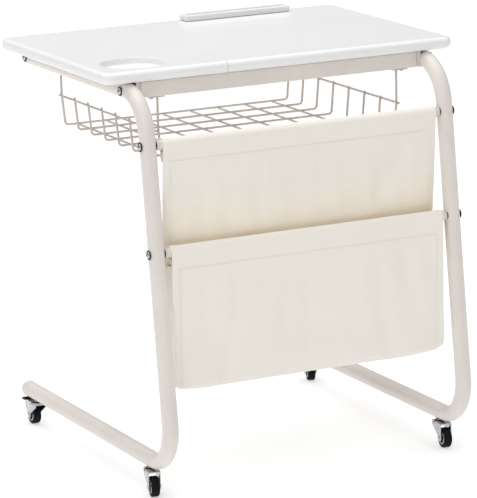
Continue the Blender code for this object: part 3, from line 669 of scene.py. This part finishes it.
def build_basket():
    """Welded wire: cross wires that turn up at the sides, floor wires, rims, tabs and weld beads."""
    front, rear = centre_of("front_rail").y, centre_of("rear_rail").y
    tab_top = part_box("wire_basket")[1].z
    rises = [BASKET_FLOOR_Z, BASKET_RIM_Z + WIRE_PAST]
    ys = [front + (rear - front) * index / (CROSS_WIRES - 1) for index in range(CROSS_WIRES)]
    paths = []
    for index, y in enumerate(ys):
        corners = [(BASKET_FLOOR_X, rises[0]), (BASKET_RIM_X, rises[1])]
        if index in (0, CROSS_WIRES - 1):
            corners.append((BASKET_RIM_X, tab_top - 0.0008))
        right = [(x, y, z) for x, z in corners]
        left = [(-x, y, z) for x, y, z in reversed(right)]
        paths.append(filleted(left + right, [BASKET_CORNER] * (len(left) * 2 - 2), math.radians(12)))
    pitch = 2 * BASKET_FLOOR_X / FLOOR_WIRES
    xs = [(index - (FLOOR_WIRES - 1) / 2) * pitch for index in range(FLOOR_WIRES)]
    floor_z = BASKET_FLOOR_Z - WIRE_LAP
    paths += [[(x, front - WIRE_PAST, floor_z), (x, rear + WIRE_PAST, floor_z)] for x in xs]
    rim_x = BASKET_RIM_X + WIRE_LAP
    for x in (-rim_x, rim_x):
        paths.append([(x, front - WIRE_PAST, BASKET_RIM_Z), (x, rear + WIRE_PAST, BASKET_RIM_Z)])
    pieces = [tubes(paths, WIRE_RADIUS, 14, "wires")]
    bm = bmesh.new()
    beads = [(x, y, (BASKET_FLOOR_Z + floor_z) / 2) for x in xs for y in ys]
    beads += [(s * (BASKET_RIM_X + WIRE_LAP / 2), y, BASKET_RIM_Z) for s in (-1, 1) for y in ys]
    for index, bead in enumerate(beads):
        on_floor = index < len(xs) * len(ys)
        squeeze = Matrix.Diagonal((1.25, 1.25, 0.9, 1) if on_floor else (0.9, 1.25, 1.25, 1))
        place = Matrix.Translation(bead) @ squeeze
        bmesh.ops.create_icosphere(bm, subdivisions=2, radius=WIRE_RADIUS, matrix=place)
    for y in ys[1:-1]:
        for s in (-1, 1):
            tip = Matrix.Translation((s * BASKET_RIM_X, y, rises[1])) @ Matrix.Diagonal((1, 1, 0.6, 1))
            bmesh.ops.create_icosphere(bm, subdivisions=2, radius=WIRE_RADIUS, matrix=tip)
    pieces.append(placed(bm, "beads"))
    for y in (front, rear):
        for s in (-1, 1):
            low_x, high_x = sorted(s * x for x in TAB_SPAN)
            tab_low = (low_x, y - TAB_HALF_WIDTH, tab_top - TAB_THICKNESS)
            tab = box(tab_low, (high_x, y + TAB_HALF_WIDTH, tab_top), "tab", 0.0005, 2)
            hole_x = s * TAB_HOLE_X
            hole = rod((hole_x, y, tab_top - CUT_PAST), (hole_x, y, tab_top + CUT_PAST), 0.0024, "hole", 20)
            pieces.append(combine(tab, hole, "DIFFERENCE"))
    basket = joined(pieces, "welded_basket")
    stand_in(shade(basket, 45), LOOK["wire"], "basket", "frame", "wire_basket")


# Canvas pocket ---

CANVAS_THICKNESS = 0.0009
HEM_THICKNESS = 0.0015
SLEEVE_RADIUS = 0.0091
SIDE_HEM = 0.012
SEAM_DROP = 0.0255
CORNER_ROUND = {"left": 0.003, "right": 0.011}
GUSSET_TOP_DROP = 0.020  # the gussets end this far below the lower rod
CREASES = {  # height of the fold, its two ends (x, distance below the rod) and how far it spreads
    "front": (
        (0.0034, (-0.150, 0.118), (-0.040, 0.076), 0.016),
        (0.0040, (0.030, 0.122), (0.165, 0.036), 0.018),
        (-0.0030, (0.170, 0.050), (0.192, 0.150), 0.014),
        (-0.0026, (-0.190, 0.060), (-0.150, 0.190), 0.020),
        (0.0024, (-0.060, 0.170), (0.080, 0.190), 0.016),
    ),
    "back": (
        (-0.0034, (-0.205, 0.020), (-0.165, 0.105), 0.013),
        (0.0034, (-0.170, 0.060), (-0.090, 0.130), 0.020),
        (-0.0034, (0.180, 0.040), (0.130, 0.115), 0.013),
        (0.0030, (0.030, 0.110), (0.120, 0.080), 0.018),
    ),
}
BACK_STARTS = 0.42  # the share of the sheet's line, from its front end, that comes before the back panel
PAINTED_SHADE_REACH = 0.095  # how far above the lower rod the pocket's painted shade fades out
SIDE_PIN = 0.55  # how firmly the side edges are held while the cloth settles
FULLNESS = 0.0016
SHRINK = -0.006
SETTLE_FRAMES = 30
MOST_MOVE = 0.010
COLUMN = 0.0072
ROW = 0.0068


def pocket_profile():
    """The sheet's line in YZ: over the lower rod, down the front, under the pocket and up over the upper rod.

    Each point is (y, z, held), where held says that the rod or a seam holds it."""
    lower, upper = centre_of("lower_rod"), centre_of("upper_rod")
    low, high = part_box("bag_bottom")
    front_y, back_y = low.y + CANVAS_THICKNESS, high.y - CANVAS_THICKNESS
    floor_z = high.z
    bottom_round = 0.006
    line = []

    def straight(start, end, held, step=ROW):
        start, end = Vector(start), Vector(end)
        count = max(1, round((end - start).length / step))
        for index in range(count):
            spot = start.lerp(end, index / count)
            line.append((spot.x, spot.y, held))

    def bow(centre, radius, first, last, steps, held):
        for y, z in arc_points(centre, radius, first, last, steps)[:-1]:
            line.append((y, z, held))

    front_top = (lower.y - SLEEVE_RADIUS, lower.z)
    flap_y = front_top[0] + 0.0016
    straight((flap_y, lower.z - SEAM_DROP), (flap_y + 0.0003, lower.z - 0.016), True, 0.003)
    bow((lower.y, lower.z), SLEEVE_RADIUS, -50, 180, 22, True)
    straight(front_top, (front_top[0], lower.z - SEAM_DROP), True, 0.003)
    straight((front_top[0], lower.z - SEAM_DROP), (front_y, floor_z + bottom_round), False)
    bow((front_y + bottom_round, floor_z + bottom_round), bottom_round, 180, 270, 5, False)
    straight((front_y + bottom_round, floor_z), (back_y - bottom_round, floor_z), False)
    bow((back_y - bottom_round, floor_z + bottom_round), bottom_round, 270, 360, 5, False)
    back_top = (upper.y - SLEEVE_RADIUS, upper.z)
    slope = (back_top[0] - back_y) / (back_top[1] - floor_z - bottom_round)
    seam = (back_top[0] - slope * SEAM_DROP, upper.z - SEAM_DROP)
    straight((back_y, floor_z + bottom_round), seam, False)
    straight(seam, back_top, True, 0.003)
    bow((upper.y, upper.z), SLEEVE_RADIUS, 180, -50, 22, True)
    flap_start = (back_top[0] - slope * 0.016 + 0.0022, upper.z - 0.016)
    straight(flap_start, (seam[0] + 0.0016, seam[1]), True, 0.003)
    return line


def bottom_rows(line):
    """The first and the last row of the sheet that lie along the bottom of the pocket."""
    lowest = min(z for _, z, _ in line)
    rows = [index for index, (_, z, _) in enumerate(line) if z < lowest + 1e-5]
    return rows[0], rows[-1]


def columns(half):
    """X of each column: close together over the side hems, wider between."""
    edge = [0, 0.004, 0.008, SIDE_HEM - 0.0006, SIDE_HEM + 0.0008]
    inner = half - edge[-1]
    count = round(2 * inner / COLUMN)
    middle = [-inner + 2 * inner * index / count for index in range(1, count)]
    return [-half + e for e in edge] + middle + [half - e for e in reversed(edge)]


def build_cloth():
    """The pocket as one strip of canvas, let settle under its own weight, then creased."""
    line = pocket_profile()
    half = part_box("bag_front")[1].x
    bottom_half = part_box("bag_bottom")[1].x
    floor_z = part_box("bag_bottom")[1].z
    top_z = centre_of("lower_rod").z
    xs = columns(half)
    bm = bmesh.new()
    place = bm.verts.layers.float_vector.new("cloth_place")
    rows = []
    length = 0.0
    for index, (y, z, _) in enumerate(line):
        if index:
            length += math.hypot(y - line[index - 1][0], z - line[index - 1][1])
        share = min(1, max(0, (top_z - z) / (top_z - floor_z)))
        width = half + (bottom_half - half) * share
        # depth is the weight of the pocket's painted shade on this row, kept as the third value of
        # cloth_place
        depth = 0.0
        if index > len(line) * BACK_STARTS:
            depth = min(1, max(0, 1 - (z - top_z) / PAINTED_SHADE_REACH)) ** 1.5
        row = []
        for x in xs:
            radius = CORNER_ROUND["left" if x < 0 else "right"]
            into = min(1, max(0, 1 - (z - floor_z) / radius))
            rounded = width - radius * 0.8 * (1 - math.sqrt(1 - into * into))
            vert = bm.verts.new((x * rounded / half, y, z))
            vert[place] = (x, length, depth)
            row.append(vert)
        rows.append(row)
    for first, second in zip(rows, rows[1:]):
        for a, b, c, d in zip(first, first[1:], second[1:], second):
            bm.faces.new((a, b, c, d))
    strip = placed(bm, "canvas_pocket")
    strip.data.update()
    pins = strip.vertex_groups.new(name="held")
    count = len(xs)
    for index, (_, _, held) in enumerate(line):
        row = range(index * count, (index + 1) * count)
        if held:
            pins.add(list(row), 1.0, "REPLACE")
        else:
            pins.add([row[0], row[-1]], SIDE_PIN, "REPLACE")
    rest = [v.co.copy() for v in strip.data.vertices]
    nudge(strip, line, count)
    simulate(strip)
    limit_moves(strip, rest)
    crease_cloth(strip, line, count)
    return strip, line, count, length


def crease(x, drop, start, end, spread):
    """How strongly a soft crease between two spots (x, distance below the rod) lifts the cloth here."""
    start, end, spot = Vector(start), Vector(end), Vector((x, drop))
    along = (end - start).normalized()
    reach = min(max((spot - start).dot(along), 0), (end - start).length)
    return math.exp(-(((spot - start - along * reach).length / spread) ** 2))


def free_spots(line, count):
    """Each vertex that no rod or seam holds: its index, its panel, and how far below its rod."""
    rods = {"front": centre_of("lower_rod").z, "back": centre_of("upper_rod").z}
    for index, (_, z, held) in enumerate(line):
        if not held:
            panel = "front" if index < len(line) / 2 else "back"
            for column in range(count):
                yield index * count + column, panel, rods[panel] - z


def nudge(strip, line, count):
    """Fullness that the cloth starts from: slow waves over both panels."""
    random.seed(7)
    waves = [(random.uniform(8, 20), random.uniform(0, 6.28), random.uniform(0.4, 1)) for _ in range(5)]
    for index, _, drop in free_spots(line, count):
        vert = strip.data.vertices[index]
        wave = sum(a * math.sin(k * vert.co.x + p + 9 * drop) for k, p, a in waves) / 3
        vert.co.y += FULLNESS * wave


def crease_cloth(strip, line, count):
    """The soft creases of a pocket that has been folded flat, laid over the settled cloth."""
    for index, panel, drop in free_spots(line, count):
        vert = strip.data.vertices[index]
        fade = min(1, max(0, (drop - SEAM_DROP) / 0.03))
        lift = sum(height * crease(vert.co.x, drop, *spots) for height, *spots in CREASES[panel])
        vert.co.y -= fade * lift


def simulate(strip):
    modifier = strip.modifiers.new("Cloth", "CLOTH")
    settings = modifier.settings
    settings.quality = 6
    settings.mass = 0.35
    settings.tension_stiffness = 40
    settings.compression_stiffness = 40
    settings.shear_stiffness = 20
    settings.bending_stiffness = 4.0
    settings.air_damping = 3
    settings.vertex_group_mass = "held"
    settings.pin_stiffness = 1.0
    settings.shrink_min = SHRINK
    modifier.collision_settings.use_collision = False
    modifier.point_cache.frame_start = 1
    modifier.point_cache.frame_end = SETTLE_FRAMES
    for number in range(1, SETTLE_FRAMES + 1):
        SCENE.frame_set(number)
    settle(strip)
    SCENE.frame_set(1)


def limit_moves(strip, rest):
    for vert, start in zip(strip.data.vertices, rest, strict=True):
        move = vert.co - start
        if move.length > MOST_MOVE:
            vert.co = start + move * (MOST_MOVE / move.length)


def gusset_cut(line):
    """One flat gusset between the panels, from the sheet's own outline: how deep it is, and its area."""
    top_z = centre_of("lower_rod").z - GUSSET_TOP_DROP
    middle = bottom_rows(line)[0]
    front = [(y, z) for y, z, _ in line[:middle] if z <= top_z]
    outline = front + [(y, z) for y, z, _ in line[middle:] if z <= top_z]
    area = sum(a[0] * b[1] - b[0] * a[1] for a, b in zip(outline, outline[1:] + outline[:1])) / 2
    return max(y for y, _ in outline) - min(y for y, _ in outline), abs(area)


def add_gussets(strip, line, count):
    """Side panels sewn between the front and back edges; they tuck in a little."""
    bm = bmesh.new()
    bm.from_mesh(strip.data)
    sheet = list(bm.verts)
    place = bm.verts.layers.float_vector["cloth_place"]
    first_row, last_row = bottom_rows(line)
    top_z = centre_of("lower_rod").z - GUSSET_TOP_DROP
    fronts, backs = (
        list(takewhile(lambda row: line[row][1] <= top_z, rows))
        for rows in (range(first_row, -1, -1), range(last_row, len(line)))
    )
    steps = 9
    for column in (0, count - 1):
        sign = -1 if column == 0 else 1
        grid = []
        for k, i in enumerate(fronts):
            share = k / (len(fronts) - 1)
            j = backs[min(len(backs) - 1, round(share * (len(backs) - 1)))]
            a = sheet[i * count + column]
            b = sheet[j * count + column]
            line_of = [a]
            for s in range(1, steps):
                t = s / steps
                spot = a.co.lerp(b.co, t)
                tuck = math.sin(math.pi * t) * (0.002 + 0.012 * share)
                spot.x -= sign * tuck
                vert = bm.verts.new(spot)
                vert[place] = (t * (b.co - a.co).length, spot.z, 0)
                line_of.append(vert)
            line_of.append(b)
            grid.append(line_of)
        for low_line, high_line in zip(grid, grid[1:]):
            for a, b, c, d in zip(low_line, low_line[1:], high_line[1:], high_line):
                corners = [a, b, c, d]
                unique = [v for n, v in enumerate(corners) if v not in corners[:n]]
                if len(unique) > 2 and not bm.faces.get(unique):
                    bm.faces.new(unique)
    bm.to_mesh(strip.data)
    bm.free()


def give_thickness(strip, line, count):
    """A turned hem is doubled, so it is thicker than the single cloth between."""
    hems = strip.vertex_groups.new(name="hems")
    total = len(line) * count
    for index in range(len(strip.data.vertices)):
        column = index % count
        hem = index < total and min(column, count - 1 - column) <= 3
        hems.add([index], 1.0 if hem else CANVAS_THICKNESS / HEM_THICKNESS, "REPLACE")
    solid = strip.modifiers.new("Canvas", "SOLIDIFY")
    solid.thickness = HEM_THICKNESS
    solid.offset = 0
    solid.vertex_group = "hems"
    solid.use_rim = True
    settle(strip)
    shade(strip, 60)


def stitch(bm, start, end, out, radius=0.00035):
    """One stitch: a short thread that bows out of the cloth."""
    middle = (start + end) / 2 + out * radius
    for first, second in ((start, middle), (middle, end)):
        spot = Matrix.Translation((first + second) / 2) @ turned_to(second - first)
        bmesh.ops.create_cone(
            bm, cap_ends=True, segments=6, radius1=radius, radius2=radius,
            depth=(second - first).length, matrix=spot,
        )


def build_stitches(strip_points, line, count, name):
    """Stitch lines along the sleeve seams and down the side hems, on the outer face."""
    bm = bmesh.new()
    pitch, share = 0.0042, 0.66

    def run(points, outs):
        lengths = [0.0]
        for a, b in zip(points, points[1:]):
            lengths.append(lengths[-1] + (b - a).length)

        def at(distance):
            for n in range(len(points) - 1):
                if lengths[n + 1] >= distance:
                    t = (distance - lengths[n]) / max(1e-9, lengths[n + 1] - lengths[n])
                    return points[n].lerp(points[n + 1], t), outs[n].lerp(outs[n + 1], t).normalized()
            return points[-1], outs[-1]

        for index in range(int(lengths[-1] / pitch)):
            begin, out = at(index * pitch)
            finish, _ = at((index + share) * pitch)
            lift = out * 0.00075
            stitch(bm, begin + lift, finish + lift, out)

    def spot(row, column):
        return strip_points[row * count + column]

    def out_at(row, column):
        across = spot(row, min(count - 1, column + 1)) - spot(row, max(0, column - 1))
        down = spot(min(len(line) - 1, row + 1), column) - spot(max(0, row - 1), column)
        out = across.cross(down).normalized()
        return out if out.y < 0 else -out

    seams = [i for i in range(1, len(line)) if line[i][2] != line[i - 1][2]]
    inner = range(2, count - 2)
    for row in seams[:2]:
        run([spot(row, c) for c in inner], [out_at(row, c) for c in inner])
    turn_first, turn_last = bottom_rows(line)
    for column in (3, count - 4):
        for rows in (range(seams[0], turn_first - 2), range(turn_last + 3, seams[1])):
            run([spot(row, column) for row in rows], [out_at(row, column) for row in rows])
    return placed(bm, name)


def build_pocket():
    strip, line, count, length = build_cloth()
    points = [v.co.copy() for v in strip.data.vertices]
    add_gussets(strip, line, count)
    give_thickness(strip, line, count)
    stand_in(
        strip, LOOK["canvas"], "canvas", "frame",
        "bag_front", "bag_back", "bag_bottom", "bag_gusset_left", "bag_gusset_right",
    )
    stitches = build_stitches(points, line, count, "pocket_stitches")
    stand_in(shade(stitches), LOOK["thread"], "canvas", "frame")
    width = 2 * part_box("bag_front")[1].x
    wing, side_area = gusset_cut(line)
    return strip, stitches, (width + 2 * wing, length), width * length + 2 * side_area


# Casters ---


def caster_space(corner):
    """The caster's own space: +X along its trail, Z up, from the swivel and wheel joints."""
    joints = {joint["name"]: joint for joint in frame["joints"]}
    stem = Vector(joints["swivel_" + corner]["pos_m"])
    wheel = Vector(joints["wheel_spin_" + corner]["pos_m"])
    trail = math.atan2(wheel.y - stem.y, wheel.x - stem.x)
    return Matrix.Translation((stem.x, stem.y, 0)) @ Matrix.Rotation(trail, 4, "Z")


def fork_look(rear):
    """A pressed fork: cheeks that taper to the axle, under a round crown with a rolled lip."""
    top, under, half, sheet = 0.0400, 0.0378, 0.0099, 0.0016
    toe = 0.0292 if rear else 0.0215
    outline = [(-0.0105, top), (toe, top), (toe, under - 0.005)]
    outline += arc_points((WHEEL_TRAIL, WHEEL_RADIUS), 0.0056, 20, -200, 16) + [(-0.0105, under - 0.005)]
    bm = bmesh.new()
    near = [bm.verts.new((x, -half, z)) for x, z in outline]
    face = bm.faces.new(near)
    far = bmesh.ops.extrude_face_region(bm, geom=[face])
    moved = [v for v in far["geom"] if isinstance(v, bmesh.types.BMVert)]
    bmesh.ops.translate(bm, verts=moved, vec=(0, 2 * half, 0))
    bmesh.ops.recalc_face_normals(bm, faces=bm.faces)
    fork = placed(bm, "fork")
    inside = half - sheet
    combine(fork, box((-0.03, -inside, -0.01), (0.05, inside, under), "inside", 0.0012, 3), "DIFFERENCE")
    if rear:
        combine(fork, box((0.0205, -inside, 0.03), (0.06, inside, 0.06), "pedal_room"), "DIFFERENCE")
    round_edges(fork, 0.0005, 2, 50)
    crown_profile = [(0, 0.0402), (0.0090, 0.0402), (0.0098, 0.0405), (0.0106, 0.0402), (0.0114, 0.0390)]
    crown_profile += arc_points((0.0110, 0.0374), 0.0011, 70, -110, 6)
    crown_profile += [(0.0100, 0.0376), (0, 0.0376)]
    crown = turned(crown_profile, "crown", 40)
    race = [(0.0042, 0.0426), (0.0074, 0.0426), (0.0082, 0.0419), (0.0088, 0.0403), (0.0042, 0.0403)]
    collar = turned(race, "race", 40, True)
    dome = [(0, 0.0014), (0.0024, 0.0012), (0.0036, 0.0006), (0.0038, 0), (0, 0)]
    rivets = []
    for s in (-1, 1):
        rivets.append(turned(dome, "rivet", 24, axis=(0, s, 0), at=(WHEEL_TRAIL, s * half, WHEEL_RADIUS)))
    return joined([fork, crown, *rivets], "fork_master"), collar


def tyre_look():
    half, inner, tread = WHEEL_HALF_WIDTH, 0.0108, 0.0026
    profile = arc_points((WHEEL_RADIUS - tread, half - tread), tread, 80, 5, 5)
    groove = WHEEL_RADIUS - 0.0002
    profile += [(WHEEL_RADIUS, 0.0012), (groove, 0.0004), (groove, -0.0004), (WHEEL_RADIUS, -0.0012)]
    profile += arc_points((WHEEL_RADIUS - tread, tread - half), tread, -5, -80, 5)
    profile += [(inner + 0.0006, -half + 0.0004), (inner, -half + 0.0010)]
    profile += [(inner, half - 0.0010), (inner + 0.0006, half - 0.0004)]
    return turned(profile, "tyre_master", 64, True, axis=(0, 1, 0))


def hub_look():
    """A black hub with a sunk web, six ribs and a boss; a bright ring caps each side of its rim."""
    half, rim, boss, bore = 0.0062, 0.0108, 0.0048, 0.0026
    web, lip = 0.0026, 0.0086
    profile = [(rim, half - 0.0003), (rim, 0.0003 - half), (rim - 0.0003, -half), (lip, -half)]
    profile += [(lip - 0.0004, -web), (boss, -web), (boss - 0.0003, -half), (bore, -half)]
    profile += [(bore, half), (boss - 0.0003, half), (boss, web)]
    profile += [(lip - 0.0004, web), (lip, half), (rim - 0.0003, half)]
    pieces = [turned(profile, "hub_disc", 48, True, axis=(0, 1, 0))]
    for index in range(6):
        for low_y, high_y in ((web - 0.0008, web + 0.0018), (-web - 0.0018, 0.0008 - web)):
            rib = box((boss - 0.0006, low_y, -0.0006), (lip + 0.0002, high_y, 0.0006), "rib")
            rib.data.transform(Matrix.Rotation(index * math.pi / 3, 4, "Y"))
            pieces.append(rib)
    rings = []
    for sign in (-1, 1):
        seat, face = half + 0.0001, half + 0.0006
        section = [(0.0104, seat), (0.0100, face), (0.0090, face), (0.0086, seat)]
        if sign < 0:
            section = [(radius, -height) for radius, height in reversed(section)]
        rings.append(turned(section, "ring", 48, True, axis=(0, 1, 0)))
    return joined(pieces, "hub_master"), joined(rings, "ring_master")


def pedal_look():
    """A wide ribbed black tread on a bright lever and barrel, with the cam that swings towards the tyre."""
    x, z = 0.0255, 0.0350
    lever = box((-0.0028, -0.0072, 0.0022), (0.0120, 0.0072, 0.0034), "lever", 0.0004, 2)
    barrel = rod((0, -0.0078, 0), (0, 0.0078, 0), 0.0029, "barrel", 28)
    pin = rod((0, -0.0100, 0), (0, 0.0100, 0), 0.0014, "pin", 20)
    cam = box((-0.0012, -0.0060, -0.0042), (0.0012, 0.0060, 0), "cam", 0.0003, 2)
    metal = joined([lever, barrel, pin, cam], "lever_master")
    pad = box((0.0052, -0.0110, 0.0022), (0.0160, 0.0110, 0.0050), "pad", 0.0011, 4)
    ribs = []
    for n in range(5):
        start = 0.0064 + 0.0019 * n
        ribs.append(box((start, -0.0094, 0.0046), (start + 0.0009, 0.0094, 0.0055), "rib", 0.0002, 1))
    tread = joined([pad, *ribs], "tread_master")
    for obj in (metal, tread):
        obj.data.transform(Matrix.Translation((x, 0, z)))
    return metal, tread


def build_casters():
    wheel_place = Matrix.Translation((WHEEL_TRAIL, 0, WHEEL_RADIUS))
    fork_nodes = ("caster_fork_", "caster_axle_")
    forks = {"front": fork_look(False), "rear": fork_look(True)}
    tyre = tyre_look()
    hub, ring = hub_look()
    lever, tread = pedal_look()
    flange = [(0.0042, 0.0434), (0.0064, 0.0434), (0.0070, 0.0432), (0.0070, 0.0427), (0.0042, 0.0427)]
    stem = turned(flange, "stem_master", 36, True)
    masters = [tyre, hub, ring, lever, tread, stem, *[o for pair in forks.values() for o in pair]]
    for where in ("front", "rear"):
        for side in SIDES:
            corner = f"{where}_{side}"
            space = caster_space(corner)
            fork, collar = forks[where]
            rows = [
                ("fork_shell", fork, space, "plate", "caster_metal", "caster_", fork_nodes),
                ("ball_race", collar, space, "black", "saddle", "caster_", ()),
                ("stem_collar", stem, space, "plate", "caster_metal", None, ("caster_stem_",)),
                ("rubber_tyre", tyre, space @ wheel_place, "rubber", "tyre", "wheel_", ("caster_tyre_",)),
                ("black_hub", hub, space @ wheel_place, "black", "hub", "wheel_", ("caster_hub_",)),
                ("hub_ring", ring, space @ wheel_place, "plate", "caster_metal", "wheel_", ()),
            ]
            if where == "rear":
                stands_for = ("brake_pedal_",)
                rows.append(("pedal_lever", lever, space, "plate", "caster_metal", "pedal_", stands_for))
                rows.append(("pedal_tread", tread, space, "black", "pedal", "pedal_", ()))
            for name, master, place, look, slot, body, nodes in rows:
                piece = add_object(f"{name}_{corner}", master.data.copy())
                piece.data.transform(place)
                rides = body + corner if body else "frame"
                stand_in(shade(piece, 32), LOOK[look], slot, rides, *[node + corner for node in nodes])
    for master in masters:
        bpy.data.objects.remove(master, do_unlink=True)


# Stage ---


SKY = ((0.15, 0.08), (0.35, 0.25), (0.75, 1.0))  # height, level: a dark horizon under a wide soft box
SKY_STRENGTH = 1.10
LIGHTS = {"key": ((-3.0, -2.6, 2.2), 1.6, 22), "top": ((-0.3, 0.5, 3.2), 2.4, 34)}  # place, size, watts
LIGHT_AIM = Vector((0, 0, 0.35))
FLOOR_GLOW = 0.50


def build_stage():
    bpy.ops.mesh.primitive_plane_add(size=60, location=(0, 12, -0.0002))
    floor = bpy.context.object
    floor.name = "pale_floor"
    look = Finish("pale_floor", (203, 203, 203), 0.9)
    look.set("Emission Color", (1, 1, 1, 1))
    look.set("Emission Strength", FLOOR_GLOW)
    floor.data.materials.append(look.material)
    world = bpy.data.worlds.new("studio")
    SCENE.world = world
    world.use_nodes = True
    tree = world.node_tree
    back = tree.nodes["Background"]
    place = tree.nodes.new("ShaderNodeTexCoord")
    split = tree.nodes.new("ShaderNodeSeparateXYZ")
    tree.links.new(place.outputs["Generated"], split.inputs[0])
    ramp = tree.nodes.new("ShaderNodeValToRGB")
    stops = ramp.color_ramp.elements
    for height, level in SKY:
        stops.new(height).color = (level, level, level, 1)
    stops[0].color = stops[1].color
    stops[-1].color = stops[-2].color
    tree.links.new(split.outputs[2], ramp.inputs["Fac"])
    tree.links.new(ramp.outputs["Color"], back.inputs["Color"])
    back.inputs["Strength"].default_value = SKY_STRENGTH
    for name, (at, size, power) in LIGHTS.items():
        add_light(name, at, size, power)
    SCENE.view_settings.view_transform = "Standard"


def add_light(name, at, size, power):
    light = bpy.data.lights.new(name, "AREA")
    light.size = size
    light.energy = power
    obj = bpy.data.objects.new(name, light)
    obj.location = at
    obj.rotation_mode = "QUATERNION"
    obj.rotation_quaternion = (Vector(at) - LIGHT_AIM).to_track_quat("Z", "Y")
    SCENE.collection.objects.link(obj)


CAMERA_AZIMUTH = -26.196
CAMERA_ELEVATION = 12.97
CAMERA_ROLL = -1.473
CAMERA_DISTANCE = 5.3321
CAMERA_TARGET = Vector((0, 0.030, 0.330))
CAMERA_OFFSET = (0.0141, -0.0222)
LENS_SHARE = 6.6997  # focal length over the frame's long side


def build_camera():
    azimuth, elevation, roll = map(math.radians, (CAMERA_AZIMUTH, CAMERA_ELEVATION, CAMERA_ROLL))
    back = Vector((
        math.sin(azimuth) * math.cos(elevation),
        -math.cos(azimuth) * math.cos(elevation),
        math.sin(elevation),
    ))
    right = (-back).cross(Vector((0, 0, 1))).normalized()
    up = right.cross(-back)
    right_rolled = math.cos(roll) * right + math.sin(roll) * up
    up_rolled = -math.sin(roll) * right + math.cos(roll) * up
    camera = bpy.data.cameras.new("camera")
    camera.sensor_width = 36
    camera.lens = LENS_SHARE * camera.sensor_width
    obj = bpy.data.objects.new("camera", camera)
    aside = CAMERA_OFFSET[0] * right_rolled + CAMERA_OFFSET[1] * up_rolled
    spot = CAMERA_TARGET + aside + CAMERA_DISTANCE * back
    turn = Matrix((right_rolled, up_rolled, back)).transposed().to_4x4()
    obj.matrix_world = Matrix.Translation(spot) @ turn
    SCENE.collection.objects.link(obj)
    SCENE.camera = obj


def main():
    build_camera()
    build_stage()
    build_tabletop()
    build_tablet_stop()
    build_frames()
    build_rails_and_rods()
    build_bolts()
    build_basket()
    build_casters()
    strip, stitches, flat, area = build_pocket()


main()
